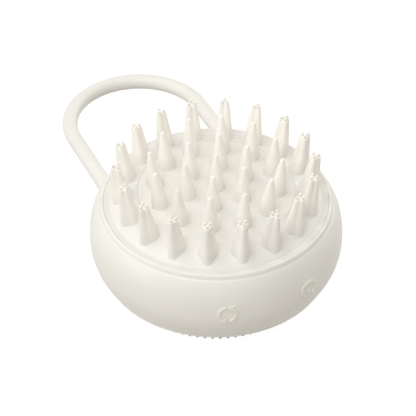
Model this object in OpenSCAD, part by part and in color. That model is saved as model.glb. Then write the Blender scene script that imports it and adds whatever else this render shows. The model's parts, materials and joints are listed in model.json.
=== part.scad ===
// Electric scalp massager: a squat round body lying on its palm side, a turning head of
// nineteen soft cones in a ring of eighteen three-lobed bristles, and a loop handle.
// Origin: on the body's axis, on the surface it stands on. +Z up, +Y towards the handle.

/* [Body] */
// Greatest diameter of the body
body_d = 90; // [84:0.5:96]
// Height of the widest circle above the table
equator_z = 19.5; // [18.5:0.1:20.5]
// Wall thickness of both shells
wall = 2; // [1.6:0.1:2.4]
// Height of the line where the two shells meet
split_z = 6.4; // [5.9:0.1:6.9]
// How far inside the widest circle the upper curve would run out level
shoulder_in = 14; // [12:0.5:16]
// Height at which the upper curve would run out level
shoulder_z = 38.3; // [37.6:0.1:39]
// Fullness of the upper curve, where 2 is an ellipse
shoulder_power = 2.38; // [2.2:0.02:2.6]
// How far inside the widest circle the lower curve would run out level
under_in = 17.3; // [16:0.1:19]
// Fullness of the lower curve, where 2 is an ellipse
under_power = 1.85; // [1.7:0.01:2.1]
// Height of the flat underside above the table
under_z = 0.9; // [0.7:0.05:1.2]

/* [Rim] */
// How far inside the widest circle the middle of the rim's crest lies
rim_in = 4.8; // [4.4:0.1:5.2]
// Height of the rim's crest
rim_z = 35.3; // [35:0.1:35.8]
// Half the width of the rim's rounded crest
rim_round = 0.55; // [0.4:0.05:0.7]
// Width of the seat that the pad ring rests on
ledge_w = 4.45; // [4:0.05:5.2]
// Height of the top of that seat
ledge_z = 30.2; // [29.8:0.1:30.6]
// Thickness of that seat
ledge_t = 3; // [2.6:0.1:3.4]

/* [Bristle pad] */
// Width of the flat band round the bristle pad
band_w = 2.1; // [1.6:0.1:2.6]
// Height of the band's inner edge
band_z = 34.8; // [34.6:0.1:35]
// Width of the slope from the band to the round opening in the pad
slope_w = 9.7; // [9.4:0.05:10]
// Height of the slope at that opening
seam_z = 39.35; // [39:0.05:39.6]
// Thickness of the soft pad over its ring
pad_t = 1.8; // [1.5:0.1:2]
// Thickness of the stiff ring under the soft pad
ring_t = 2; // [1.6:0.1:2.2]
// Number of three-lobed bristles
bristle_count = 18; // [14:1:20]
// How far inside the band's inner edge the bristles stand
bristle_in = 5.05; // [4.8:0.05:5.4]
// How far a bristle leans outwards from its base to its tip
bristle_lean = 2.11; // [1.6:0.05:2.6]
// Height of a bristle's flat tip
bristle_tip_z = 51.5; // [48:0.1:55]
// Radius of each of a bristle's three lobes at the base
lobe_base_r = 2.1; // [1.9:0.05:2.3]
// Distance of those lobes from the bristle's own axis at the base
lobe_base_out = 1.7; // [1.5:0.05:1.8]
// Radius of each lobe at the tip
lobe_tip_r = 1.02; // [0.9:0.02:1.1]
// Distance of those lobes from the bristle's own axis at the tip
lobe_tip_out = 1.11; // [1:0.01:1.2]
// Share of the full hollow that the sides between two lobes keep, 0 for flat sides
lobe_hollow = 0.3; // [0:0.05:0.6]
// Radius of the small bead on each lobe
bead_r = 0.55; // [0.45:0.05:0.6]
// Height of a bead's top above the flat tip
bead_rise = 1.5; // [1.2:0.1:1.6]

/* [Turning head] */
// Height of the soft pad's middle
dome_z = 40.35; // [40:0.05:41]
// Height of the soft pad's flat underside
pad_under_z = 37.2; // [36.8:0.1:37.6]
// Radius of the inner circle of cones at the base
cone_ring_r = 10.9; // [10:0.1:11.5]
// How far inside the turning pad's edge the outer circle of cones stands
cone_outer_in = 6.2; // [5.6:0.1:6.8]
// How far the inner cones lean outwards at the tip
cone_ring_lean = 0.97; // [0:0.05:1.5]
// How far the outer cones lean outwards at the tip
cone_outer_lean = 1.73; // [0:0.05:2]
// Radius of a cone at its base
cone_r = 3.11; // [2.6:0.05:3.4]
// Radius of a cone's rounded tip
cone_tip_r = 0.85; // [0.7:0.05:1]
// Height of the tip of the middle cone
cone_tip_z = 54.9; // [50:0.1:58]
// Thickness of the disc that carries the soft pad
carrier_t = 2.8; // [2.4:0.1:3]
// How far inside the soft pad's edge the edge of that disc lies
carrier_in = 0.5; // [0.4:0.1:1.5]

/* [Drive] */
// Tooth module of the three gears
tooth_module = 0.5; // [0.45:0.01:0.52]
// Teeth on the head gear
head_teeth = 48; // [44:1:50]
// Teeth on the idler gear
idler_teeth = 30; // [26:1:32]
// Teeth on the motor pinion
pinion_teeth = 10; // [10:1:12]
// Distance of the motor's axis behind the body's axis
motor_y = 19.5; // [19.3:0.1:20.5]
// Thickness of the gear teeth
gear_t = 3.8; // [3:0.1:3.8]
// Height of the gears' lower faces
gear_z = 20.4; // [20.2:0.1:20.6]
// Radius of the head shaft
shaft_r = 2.5; // [2:0.05:2.8]
// Radius of the idler's pin
idler_pin_r = 1.5; // [1.2:0.05:1.8]
// Radius of the motor's shaft
motor_shaft_r = 1; // [0.8:0.05:1.1]
// Radius of the motor can
motor_r = 12.2; // [11:0.1:12.4]
// Height of the motor can
motor_h = 12.4; // [11:0.1:12.8]
// Thickness of the two plates of the gearbox
plate_t = 2.4; // [2:0.1:2.6]

/* [Handle] */
// Diameter of the handle's rod
handle_d = 5.7; // [5:0.1:6]
// Distance of each leg from the middle
handle_x = 26; // [25:0.5:27]
// Distance of the centre of the handle's bend behind the body's widest circle
handle_out = 26; // [15:0.5:35]
// Height of the handle's rod
handle_z = 20.25; // [19.5:0.05:21]

/* [Buttons] */
// Angle of each button to the side of the front
button_angle = 20; // [18:0.5:22]
// Height of the buttons
button_z = 21.2; // [20.6:0.1:21.8]
// Radius of a button's cap
button_r = 4.6; // [4.4:0.1:5]
// How far a button is pushed in
button_travel = 0.4; // [0.3:0.05:0.45]
// Radius of the signs on the caps
sign_r = 3.2; // [2.8:0.05:3.4]
// Line width of the signs
sign_w = 0.85; // [0.6:0.05:1]
// How far the signs stand out
sign_h = 0.3; // [0.2:0.05:0.4]

/* [Inside] */
// Width of the battery cell
cell_w = 35; // [32:0.5:36]
// Length of the battery cell
cell_l = 30; // [26:0.5:30]
// Thickness of the battery cell
cell_t = 8; // [6:0.5:8]
// Distance of the middle of the battery cell in front of the axis
cell_y = 9; // [8:0.5:10]
// Thickness of the circuit board
board_t = 1.6; // [1.2:0.1:1.7]
// Half the width of the circuit board
board_x = 19.5; // [18.5:0.1:19.7]
// Distance of the board's rear edge in front of the axis
board_y = 19; // [18.6:0.1:19.4]
// How far inside the body's widest circle the board's curved front edge lies
board_in = 7.5; // [7.2:0.1:8.2]
// Radius of the screws' shanks
screw_r = 1; // [0.9:0.05:1.1]
// Radius of the screws' heads
head_screw_r = 1.9; // [1.7:0.05:2]
// Height of the screws' heads
head_screw_h = 1.2; // [1:0.1:1.3]
// Radius of the insulated leads
lead_r = 0.5; // [0.4:0.05:0.6]

/* [Underside] */
// Number of small nubs round the underside
nub_count = 80; // [60:1:84]
// Width of the soft ring that carries the nubs
nub_ring_w = 3.4; // [3:0.1:3.8]
// Radius of a nub
nub_r = 0.55; // [0.45:0.05:0.6]
// Radius of the flat foot pad
foot_r = 11; // [9:0.5:13]
// How deep the foot pad sits in the underside
foot_seat = 0.6; // [0.4:0.1:0.7]

/* [Fits] */
// Running clearance of a shaft in its bush, on the radius
run_gap = 0.05; // [0.03:0.01:0.08]
// Clearance between the turning pad and the bristle pad
seam_gap = 0.3; // [0.3:0.05:0.6]
// Clearance between the bristle pad and the rim
rim_gap = 0.05; // [0.03:0.01:0.15]
// Clearance between a fixed piece and its hole, on the radius
fix_gap = 0.02; // [0.01:0.01:0.05]
// Clearance of a button in its hole, on the radius
button_gap = 0.15; // [0.1:0.01:0.2]
// Free play along an axis
end_gap = 0.1; // [0.08:0.01:0.15]
// Play between the teeth at the pitch circle
backlash = 0.05; // [0.04:0.01:0.08]

/* [Hidden] */

$fn = 64;
steps = 14;
eps = 0.01;
body_r = body_d / 2;
inner_r = body_r - wall;
shoulder_r = body_r - shoulder_in;
under_r = body_r - under_in;
under_end_z = under_z - 1.3;
floor_z = under_z + 1.6;

// Circles of the rim, the pads and the seam, each set in from the one outside it
rim_r = body_r - rim_in;
rim_in_r = rim_r - rim_round;
ledge_r = rim_in_r - ledge_w;
band_r = rim_in_r - rim_gap;
band_in_r = band_r - band_w;
seam_r = band_in_r - slope_w;
head_r = seam_r - seam_gap;
carrier_r = head_r - carrier_in;
cone_outer_r = head_r - cone_outer_in;
bristle_base_r = band_in_r - bristle_in;
bristle_tip_r = bristle_base_r + bristle_lean;

// Colours, as the photograph shows them
soft = [0.95, 0.94, 0.90];
hard = [0.93, 0.92, 0.88];
steel = [0.75, 0.76, 0.78];
dark = [0.20, 0.20, 0.22];
gear_colour = [0.86, 0.87, 0.84];

// Gear train: the idler sits where its distances to both other axes are right
head_pitch_r = tooth_module * head_teeth / 2;
idler_pitch_r = tooth_module * idler_teeth / 2;
pinion_pitch_r = tooth_module * pinion_teeth / 2;
head_to_idler = head_pitch_r + idler_pitch_r;
idler_to_motor = idler_pitch_r + pinion_pitch_r;
idler_turn = acos((pow(motor_y, 2) + pow(head_to_idler, 2) - pow(idler_to_motor, 2))
    / (2 * motor_y * head_to_idler));
idler_angle = 90 - idler_turn;
idler_pos = head_to_idler * [cos(idler_angle), sin(idler_angle)];
motor_pos = [0, motor_y];
to_motor_angle = atan2(motor_pos.y - idler_pos.y, motor_pos.x - idler_pos.x);
gear_top_z = gear_z + gear_t;
flange_t = 0.5;
tray_top_z = gear_z - end_gap - flange_t;
tray_z = tray_top_z - plate_t;
cover_z = gear_top_z + end_gap + flange_t;
cover_top_z = cover_z + plate_t;
gear_room = 1;
room_wall = 1.6;

// Bearings and seal of the head shaft
bush_r = shaft_r + 1.5;
bush_flange_r = shaft_r + 2.5;
bush_wall = 2.5;
boss_r = bush_r + bush_wall;
seal_r = shaft_r + 2.6;
seal_t = 1.8;
upper_bush_h = 4.2;
lower_bush_h = 3.4;
cover_boss_z = cover_z + upper_bush_h + seal_t;
tray_boss_z = tray_top_z - lower_bush_h - 1.2;
shaft_bottom_z = tray_top_z - lower_bush_h;
carrier_z = pad_under_z - carrier_t;
hub_r = 6;
hub_z = cover_boss_z + 0.4;
shaft_top_z = pad_under_z - 1.2;

// Pad ring and its screws
ring_out_r = band_r - 0.3;
ring_in_r = seam_r + 0.8;
slope = (seam_z - band_z) / (band_in_r - seam_r);
pad_screw_r = ledge_r + 2.2;
pad_bite = 2.3;
pad_screw_count = 6;
arm_count = 3;
arm_first = 30;
arm_w = 8;
arm_start = 9;
lug_r = 4.5;

// Shape of a bristle
lobe_points = 24;
tip_round = 0.2;
tip_dish = 0.15;
bead_z = bristle_tip_z + bead_rise - bead_r;

// Handle sockets
handle_r = handle_d / 2;
handle_y = body_r + handle_out;
socket_r = handle_r + 1.75;
socket_depth = 10.7;
socket_end_y = sqrt(pow(body_r, 2) - pow(handle_x, 2)) - socket_depth;
socket_floor = 1.5;
leg_end_y = socket_end_y + socket_floor + 0.3;
handle_fit = 0.1;
seal_y = leg_end_y + 4.2;
seal_w = 1.2;
seal_depth = 0.5;
handle_screw_y = leg_end_y + 1.8;
handle_bite = 0.8;

// Buttons and switches, measured outwards along the button's own axis
flange_r = button_r + 1;
flange_u = body_r - 3.8;
button_flange_t = 1;
well_r = flange_r + 0.2;
well_wall = 1;
well_u = flange_u - 1.7;
plunger_r = 0.9;
switch_u = flange_u - 6.2;
switch_depth = 3.5;
switch_w = 6;
plunger_out = 1.1;
plunger_in = 0.5;
stem_r = 1.2;
stem_u = switch_u + plunger_out + end_gap;

// Board, cell and base
board_z = button_z - 2 - board_t;
board_top_z = board_z + board_t;
board_r = body_r - board_in;
board_screw_x = board_x - 4;
board_screw_y = board_y + 5;
board_post_r = 3.5;
board_bite = 3.8;
groove_in_r = under_r + 4.5;
groove_out_r = groove_in_r + nub_ring_w;
groove_top_z = under_z + 2.1;
nub_ring_r = groove_in_r + nub_ring_w / 2 + 0.2;
post_r = 3;
post_ring_r = groove_in_r + 1.3;
base_screw_l = 9;
post_angles = [45, 135, 225, 315];
rib_t = 2;
cell_z = floor_z + 0.4;
cell_front_y = -cell_y - cell_l / 2;
contact_x = 3.5;
contact_y = (cell_front_y - groove_in_r) / 2;
contact_r = 1.2;
contact_pad = 0.8;
seal_groove = 0.9;
seal_ring_r = under_curve_r(split_z) - wall / 2;

// Points of the two curves of the body's outline, for a wall set in by d
function upper_point(a, d = 0) = [
    shoulder_r + (body_r - d - shoulder_r) * pow(cos(a), 2 / shoulder_power),
    equator_z + (shoulder_z - d - equator_z) * pow(sin(a), 2 / shoulder_power)];
function lower_point(a, d = 0) = [
    under_r + (body_r - d - under_r) * pow(cos(a), 2 / under_power),
    equator_z - (equator_z - under_end_z - d) * pow(sin(a), 2 / under_power)];

// Angle on the curve at which it reaches a height, and radius of the lower curve there
function upper_angle(z, d = 0) =
    asin(pow((z - equator_z) / (shoulder_z - d - equator_z), shoulder_power / 2));
function lower_angle(z, d = 0) =
    asin(pow((equator_z - z) / (equator_z - under_end_z - d), under_power / 2));
function under_curve_r(z, d = 0) = lower_point(lower_angle(z, d), d).x;
function upper_curve_r(z, d = 0) = upper_point(upper_angle(z, d), d).x;

// A run of curve points between two heights
function upper_run(z0, z1, d = 0) = [
    for (i = [0 : steps])
        upper_point(upper_angle(z0, d) + (upper_angle(z1, d) - upper_angle(z0, d)) * i / steps, d)];
function lower_run(z0, z1, d = 0) = [
    for (i = [0 : steps])
        lower_point(lower_angle(z0, d) + (lower_angle(z1, d) - lower_angle(z0, d)) * i / steps, d)];

// Height of the sloping pad, and of the turning pad's dome, at a radius
function slope_z(r) = band_z + slope * (band_in_r - r);
function dome_height(r) = dome_z - (dome_z - seam_z) * pow(r / head_r, 2);

// A point at radius r and angle a
function polar(r, a) = r * [cos(a), sin(a)];

// A round rod from point p to point q
module rod(p, q, r1, r2) {
    d = q - p;
    l = norm(d);
    translate(p)
        rotate([0, acos(d.z / l), atan2(d.y, d.x)])
            cylinder(h = l, r1 = r1, r2 = r2);
}

// A ring with a rectangular section
module band(r_in, r_out, z0, z1) {
    translate([0, 0, z0])
        difference() {
            cylinder(h = z1 - z0, r = r_out);
            translate([0, 0, -1])
                cylinder(h = z1 - z0 + 2, r = r_in);
        }
}

// A screw with its head's underside at z and its shank pointing up
module screw_up(p, z, length) {
    translate([p.x, p.y, z - head_screw_h])
        cylinder(h = head_screw_h, r = head_screw_r);
    translate([p.x, p.y, z - eps])
        cylinder(h = length + eps, r = screw_r);
}

// The hole that a screw's shank fills
module screw_hole(p, z, length, gap = fix_gap) {
    translate([p.x, p.y, z])
        cylinder(h = length, r = screw_r + gap);
}

// Places its children on a button's axis, with +X pointing outwards
module at_button(side) {
    rotate([0, 0, -90 + side * button_angle])
        translate([0, 0, button_z])
            children();
}

// A cylinder along a button's axis, from distance u0 to distance u1
module button_rod(side, u0, u1, r) {
    at_button(side)
        translate([u0, 0, 0])
            rotate([0, 90, 0])
                cylinder(h = u1 - u0, r = r);
}

// The body's whole outer form, grown by g
module body_form(g = 0) {
    rotate_extrude()
        polygon(concat(
            [[0, under_z - g]],
            [for (p = lower_run(under_z, equator_z)) p + [g, 0]],
            [for (p = upper_run(equator_z, rim_z - 2)) p + [g, 0]],
            [[0, rim_z - 2]]));
}

// --- Outer pieces ---

// Outline of the upper shell's wall, with the rounded rim and the pad's seat
module upper_shell_outline() {
    crest_out_r = rim_r + rim_round;
    valley_z = rim_z - 1.8;
    polygon(concat(
        upper_run(equator_z, valley_z),
        [[crest_out_r + 0.35, rim_z - 1.1]],
        [for (a = [0 : 15 : 180]) [rim_r + rim_round * cos(a), rim_z - rim_round + rim_round * sin(a)]],
        [[rim_in_r, ledge_z], [ledge_r, ledge_z], [ledge_r, ledge_z - ledge_t]],
        [[upper_curve_r(ledge_z - ledge_t, wall), ledge_z - ledge_t]],
        [for (i = [steps : -1 : 1]) upper_run(equator_z, ledge_z - ledge_t, wall)[i]],
        lower_run(equator_z, split_z, wall),
        [for (i = [steps : -1 : 1]) lower_run(equator_z, split_z)[i]]));
}

// Post that a base screw bites into, tied to the wall by a rib over the handle's screw
module base_post(a) {
    top_z = ledge_z - ledge_t + eps;
    rib_z = handle_z - socket_r + 0.4;
    translate([each polar(post_ring_r, a), split_z])
        cylinder(h = top_z - split_z, r = post_r);
    rotate([0, 0, a])
        translate([post_ring_r, -rib_t / 2, rib_z])
            cube([upper_curve_r(top_z, wall) - post_ring_r + wall / 2, rib_t, top_z - rib_z]);
}

// Blind socket that a leg of the handle is pushed into
module handle_socket(side) {
    translate([side * handle_x, socket_end_y, handle_z])
        rotate([-90, 0, 0])
            cylinder(h = sqrt(pow(inner_r, 2) - pow(handle_x, 2)) - socket_end_y + 1, r = socket_r);
}

module upper_shell() {
    color(hard)
        difference() {
            union() {
                rotate_extrude()
                    upper_shell_outline();
                for (a = post_angles)
                    base_post(a);
                intersection() {
                    body_form(-wall / 2);
                    union() {
                        for (side = [-1, 1]) {
                            handle_socket(side);
                            button_rod(side, well_u, inner_r + wall / 2, well_r + well_wall);
                        }
                    }
                }
            }
            for (side = [-1, 1]) {
                translate([side * handle_x, socket_end_y + socket_floor, handle_z])
                    rotate([-90, 0, 0])
                        cylinder(h = body_r, r = handle_r + handle_fit);
                screw_hole([side * handle_x, handle_screw_y], handle_z - socket_r - 1, socket_r);
                button_rod(side, well_u - 1, body_r + 1, button_r + button_gap);
                button_rod(side, well_u - 1, flange_u + button_flange_t + end_gap, well_r);
            }
            for (a = post_angles)
                screw_hole(polar(post_ring_r, a), split_z - eps, base_screw_l);
            for (i = [0 : pad_screw_count - 1])
                screw_hole(polar(pad_screw_r, i * 360 / pad_screw_count), ledge_z - ledge_t - eps,
                    ledge_t + 2 * eps);
            for (i = [0 : arm_count - 1])
                screw_hole(polar(pad_screw_r, arm_first + i * 360 / arm_count), ledge_z - ledge_t - eps,
                    pad_bite + end_gap);
            band(seal_ring_r - seal_groove / 2, seal_ring_r + seal_groove / 2,
                split_z - eps, split_z + seal_groove / 2);
        }
}

// Outline of the base, with its raised band over the nub ring
module base_outline() {
    raised_z = groove_top_z + 1.7;
    polygon(concat(
        [[0, under_z]],
        lower_run(under_z, split_z),
        [for (i = [0 : steps]) lower_run(split_z, raised_z, wall)[i]],
        [[groove_in_r - 0.6, raised_z], [groove_in_r - 0.6, floor_z], [0, floor_z]]));
}

// Outline of the soft ring that carries the nubs
module nub_ring_outline() {
    polygon(concat(
        [[groove_in_r, groove_top_z], [groove_in_r, under_z]],
        [for (p = lower_run(under_z, split_z)) if (p.x < groove_out_r) p],
        [[groove_out_r, lower_point(groove_angle()).y], [groove_out_r, groove_top_z]]));
}
function groove_angle() = acos(pow((groove_out_r - under_r) / (body_r - under_r), under_power / 2));

module base_shell() {
    boss_z = groove_top_z + 1.7;
    color(hard)
        difference() {
            union() {
                rotate_extrude()
                    base_outline();
                for (a = post_angles)
                    translate([each polar(post_ring_r, a), boss_z - eps])
                        cylinder(h = split_z - boss_z + eps, r = post_r);
            }
            rotate_extrude()
                polygon([[groove_in_r, -1], [groove_out_r, -1],
                    [groove_out_r, groove_top_z], [groove_in_r, groove_top_z]]);
            for (a = post_angles) {
                translate([each polar(post_ring_r, a), groove_top_z - eps])
                    cylinder(h = head_screw_h + eps, r = head_screw_r + fix_gap);
                screw_hole(polar(post_ring_r, a), groove_top_z, split_z);
            }
            translate([0, 0, under_z - 1])
                cylinder(h = foot_seat + 1, r = foot_r + fix_gap);
            for (side = [-1, 1])
                translate([side * contact_x, contact_y, 0])
                    cylinder(h = floor_z + 1, r = contact_r + fix_gap);
            band(seal_ring_r - seal_groove / 2, seal_ring_r + seal_groove / 2,
                split_z - seal_groove / 2, split_z + eps);
        }
}

module nub_ring() {
    color(soft)
        union() {
            rotate_extrude()
                nub_ring_outline();
            for (i = [0 : nub_count - 1])
                translate([each polar(nub_ring_r, i * 360 / nub_count), nub_r]) {
                    cylinder(h = groove_top_z - nub_r - 0.9, r = nub_r);
                    sphere(r = nub_r);
                }
        }
}

module foot_pad() {
    color(soft)
        cylinder(h = under_z + foot_seat, r = foot_r);
}

module housing_seal() {
    color(dark)
        rotate_extrude()
            translate([seal_ring_r, split_z])
                circle(r = seal_groove / 2 - fix_gap);
}

module base_screws() {
    color(steel)
        for (a = post_angles)
            screw_up(polar(post_ring_r, a), groove_top_z + head_screw_h, base_screw_l);
}

// --- Bristle pad ---

// A closed loop of points round three lobes of radius r whose middles lie at distance d
// from the bristle's own axis, the first lobe pointing outwards. At b degrees from the
// nearest lobe the loop lies between the bare lobe and the flat side across two lobes
function trefoil(r, d) = [
    for (i = [0 : lobe_points - 1])
        let (a = i * 360 / lobe_points,
            b = abs(a - 120 * round(a / 120)),
            bare = d * cos(b) + sqrt(max(0, pow(r, 2) - pow(d * sin(b), 2))),
            flat = (d * cos(60) + r) / cos(60 - b),
            on_lobe = b < atan2(r * sin(60), d + r * cos(60)))
        polar(on_lobe ? bare : lobe_hollow * bare + (1 - lobe_hollow) * flat, a)];

// The bristle on the +X axis: a loop in the pad's thickness and two at the rounded tip
tip_share = 1 - tip_round / (lobe_tip_r + lobe_tip_out);
function bristle_points() = concat(
    [for (p = trefoil(lobe_base_r, lobe_base_out))
        let (q = p + [bristle_base_r, 0]) [q.x, q.y, slope_z(norm(q)) - pad_t / 2]],
    [for (p = trefoil(lobe_tip_r, lobe_tip_out)) [p.x + bristle_tip_r, p.y, bristle_tip_z - tip_round]],
    [for (p = tip_share * trefoil(lobe_tip_r, lobe_tip_out)) [p.x + bristle_tip_r, p.y, bristle_tip_z]],
    [[bristle_tip_r, 0, bristle_tip_z - tip_dish]]);

// Faces of stacked loops of n points, flat below and drawn to a last point above
function loop_faces(rings, n) = concat(
    [[for (i = [0 : n - 1]) i]],
    [for (j = [0 : rings - 2], i = [0 : n - 1])
        let (k = (i + 1) % n) each [[j * n + i, (j + 1) * n + k, j * n + k],
            [j * n + i, (j + 1) * n + i, (j + 1) * n + k]]],
    [for (i = [0 : n - 1]) [(rings - 1) * n + i, rings * n, (rings - 1) * n + (i + 1) % n]]);

module bristle() {
    polyhedron(bristle_points(), loop_faces(3, lobe_points));
    for (k = [0 : 2])
        translate([bristle_tip_r, 0, bead_z] + [each polar(lobe_tip_out, 120 * k), 0]) {
            sphere(r = bead_r);
            translate([0, 0, -bead_rise])
                cylinder(h = bead_rise, r = bead_r);
        }
}

module bristle_pad() {
    lip_z = slope_z(ring_in_r) - pad_t - 1;
    color(soft)
        union() {
            rotate_extrude()
                polygon([[seam_r, lip_z], [seam_r, seam_z], [band_in_r, band_z],
                    [band_r, band_z + 0.3], [band_r, band_z - pad_t], [band_in_r, band_z - pad_t],
                    [ring_in_r, slope_z(ring_in_r) - pad_t], [ring_in_r, lip_z]]);
            for (i = [0 : bristle_count - 1])
                rotate([0, 0, i * 360 / bristle_count])
                    bristle();
        }
}

module pad_ring() {
    in_z = slope_z(ring_in_r) - pad_t;
    color(hard)
        difference() {
            rotate_extrude()
                polygon([[ring_in_r, in_z - ring_t], [ring_in_r, in_z], [band_in_r, band_z - pad_t],
                    [ring_out_r, band_z - pad_t], [ring_out_r, ledge_z], [ledge_r, ledge_z],
                    [ledge_r, band_z - pad_t - ring_t + slope * (band_in_r - ledge_r)]]);
            for (i = [0 : pad_screw_count - 1])
                screw_hole(polar(pad_screw_r, i * 360 / pad_screw_count), ledge_z - eps,
                    pad_bite + end_gap);
        }
}

module pad_ring_screws() {
    color(steel)
        for (i = [0 : pad_screw_count - 1])
            screw_up(polar(pad_screw_r, i * 360 / pad_screw_count), ledge_z - ledge_t,
                ledge_t + pad_bite);
}

// --- Handle ---

module handle_loop() {
    color(soft)
        difference() {
            union() {
                translate([0, handle_y, handle_z])
                    rotate_extrude(angle = 180)
                        translate([handle_x, 0])
                            circle(r = handle_r);
                for (side = [-1, 1])
                    translate([side * handle_x, leg_end_y, handle_z])
                        rotate([-90, 0, 0])
                            cylinder(h = handle_y - leg_end_y, r = handle_r);
            }
            for (side = [-1, 1]) {
                handle_seal_ring(side, handle_r - seal_depth, handle_r + 1);
                screw_hole([side * handle_x, handle_screw_y], handle_z - handle_r - 1,
                    handle_r + 1 + handle_bite + 2 * end_gap);
            }
        }
}

// A ring round one leg, inside its socket
module handle_seal_ring(side, r_in, r_out) {
    translate([side * handle_x, seal_y, handle_z])
        rotate([-90, 0, 0])
            band(r_in, r_out, 0, seal_w);
}

module handle_seals() {
    color(dark)
        for (side = [-1, 1])
            handle_seal_ring(side, handle_r - seal_depth, handle_r + handle_fit);
}

module handle_screws() {
    color(steel)
        for (side = [-1, 1])
            screw_up([side * handle_x, handle_screw_y], handle_z - socket_r, socket_r + handle_bite);
}

// --- Turning head ---

// Where a cone's side runs into its round tip, the fullness of the side, and how much of
// the dome's fall the tips follow
cone_tip_angle = 12;
cone_fullness = 1.5;
tip_follow = 0.6;

// Radius of a cone's side at a share t of the way up to its round tip
function cone_side(t) = cone_r - (cone_r - cone_tip_r * cos(cone_tip_angle)) * pow(t, cone_fullness);

// A soft cone from a foot to a tip, with slightly full sides
module cone(foot, tip) {
    d = tip - foot;
    l = norm(d);
    side_l = l - cone_tip_r * (1 - sin(cone_tip_angle));
    translate(foot)
        rotate([0, acos(d.z / l), atan2(d.y, d.x)])
            rotate_extrude()
                polygon(concat(
                    [[0, 0]],
                    [for (t = [0 : 0.2 : 1]) [cone_side(t), t * side_l]],
                    [for (a = [cone_tip_angle + 13 : 13 : 90])
                        [cone_tip_r * cos(a), l - cone_tip_r + cone_tip_r * sin(a)]]));
}

module cone_ring(count, base_r, lean) {
    tip_z = cone_tip_z - (dome_z - dome_height(base_r)) * tip_follow;
    for (i = [0 : count - 1]) {
        a = i * 360 / count;
        cone([each polar(base_r, a), pad_under_z + 1], [each polar(base_r + lean, a), tip_z]);
    }
}

// Pegs on the carrier that key the soft pad to it
peg_count = 6;
peg_ring_r = 16;
peg_r = 1.5;
peg_h = 1.2;

module pad_pegs(h, gap) {
    for (i = [0 : peg_count - 1])
        translate([each polar(peg_ring_r, (i + 0.5) * 360 / peg_count), pad_under_z - eps])
            cylinder(h = h + eps, r = peg_r + gap);
}

module cone_pad() {
    color(soft)
        difference() {
            union() {
                rotate_extrude()
                    polygon(concat(
                        [[0, pad_under_z], [head_r, pad_under_z]],
                        [for (i = [8 : -1 : 0]) [head_r * i / 8, dome_height(head_r * i / 8)]]));
                cone([0, 0, pad_under_z + 1], [0, 0, cone_tip_z]);
                cone_ring(6, cone_ring_r, cone_ring_lean);
                cone_ring(12, cone_outer_r, cone_outer_lean);
            }
            pad_pegs(peg_h + end_gap, fix_gap);
        }
}

module head_carrier() {
    color(hard)
        difference() {
            union() {
                translate([0, 0, carrier_z])
                    cylinder(h = carrier_t, r = carrier_r);
                translate([0, 0, hub_z])
                    cylinder(h = carrier_z - hub_z + eps, r = hub_r);
                pad_pegs(peg_h, 0);
            }
            translate([0, 0, hub_z - 1])
                cylinder(h = shaft_top_z - hub_z + 1, r = shaft_r + fix_gap);
            translate([0, 0, shaft_top_z - eps])
                cylinder(h = carrier_t, r = shaft_r + fix_gap);
        }
}

carrier_screw_l = 5;

module carrier_screw() {
    color(steel)
        translate([0, 0, shaft_top_z + head_screw_h])
            mirror([0, 0, 1]) {
                cylinder(h = head_screw_h, r = head_screw_r);
                cylinder(h = head_screw_h + carrier_screw_l, r = screw_r);
            }
}

module head_shaft() {
    color(steel)
        difference() {
            translate([0, 0, shaft_bottom_z])
                cylinder(h = shaft_top_z - shaft_bottom_z, r = shaft_r);
            screw_hole([0, 0], shaft_top_z - carrier_screw_l - 2 * end_gap, carrier_screw_l + 1);
        }
}

// --- Gears ---

// Involute of a circle of radius b, at roll angle t in degrees
function involute(b, t) = b * [cos(t) + t * PI / 180 * sin(t), sin(t) - t * PI / 180 * cos(t)];
function roll_at(b, r) = sqrt(pow(r / b, 2) - 1) * 180 / PI;
function turned(p, a) = [p.x * cos(a) - p.y * sin(a), p.x * sin(a) + p.y * cos(a)];

// Right flank of the tooth on the +X axis, from root to crown
function flank(n, pitch_r, root_r, crown_r) =
    let (b = pitch_r * cos(20),
        t0 = root_r > b ? roll_at(b, root_r) : 0,
        t1 = roll_at(b, crown_r),
        tp = roll_at(b, pitch_r),
        pp = involute(b, tp),
        half = 90 / n - backlash / 2 / pitch_r * 180 / PI,
        back = -atan2(pp.y, pp.x) - half)
    concat(
        root_r > b ? [] : [turned([root_r, 0], back)],
        [for (i = [0 : 4]) turned(involute(b, t0 + (t1 - t0) * i / 4), back)]);

module gear_outline(n) {
    pitch_r = tooth_module * n / 2;
    side = flank(n, pitch_r, pitch_r - 1.25 * tooth_module, pitch_r + 0.95 * tooth_module);
    last = len(side) - 1;
    polygon([for (k = [0 : n - 1]) each concat(
        [for (p = side) turned(p, k * 360 / n)],
        [for (i = [last : -1 : 0]) turned([side[i].x, -side[i].y], k * 360 / n)])]);
}

// A gear blank at p, turned to angle a, with its bore
module gear(n, p, a, bore_r, z0 = gear_z, h = gear_t) {
    translate([p.x, p.y, z0])
        difference() {
            rotate([0, 0, a])
                linear_extrude(h)
                    gear_outline(n);
            translate([0, 0, -1])
                cylinder(h = h + 2, r = bore_r);
        }
}

// Angles that put each gear in mesh with the one before it
idler_phase = idler_angle + 180 - (0.5 - head_teeth * idler_angle / 360) * 360 / idler_teeth;
pinion_phase = to_motor_angle + 180
    - (0.5 - idler_teeth * (to_motor_angle - idler_phase) / 360) * 360 / pinion_teeth;

module head_gear() {
    color(gear_colour)
        gear(head_teeth, [0, 0], 0, shaft_r + fix_gap);
}

module idler_gear() {
    color(gear_colour)
        difference() {
            union() {
                gear(idler_teeth, idler_pos, idler_phase, idler_pin_r + run_gap);
                translate([idler_pos.x, idler_pos.y, tray_top_z + 2 * end_gap])
                    cylinder(h = cover_z - tray_top_z - 4 * end_gap, r = idler_pin_r + 2);
            }
            translate([idler_pos.x, idler_pos.y, tray_top_z])
                cylinder(h = cover_z - tray_top_z, r = idler_pin_r + run_gap);
        }
}

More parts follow.
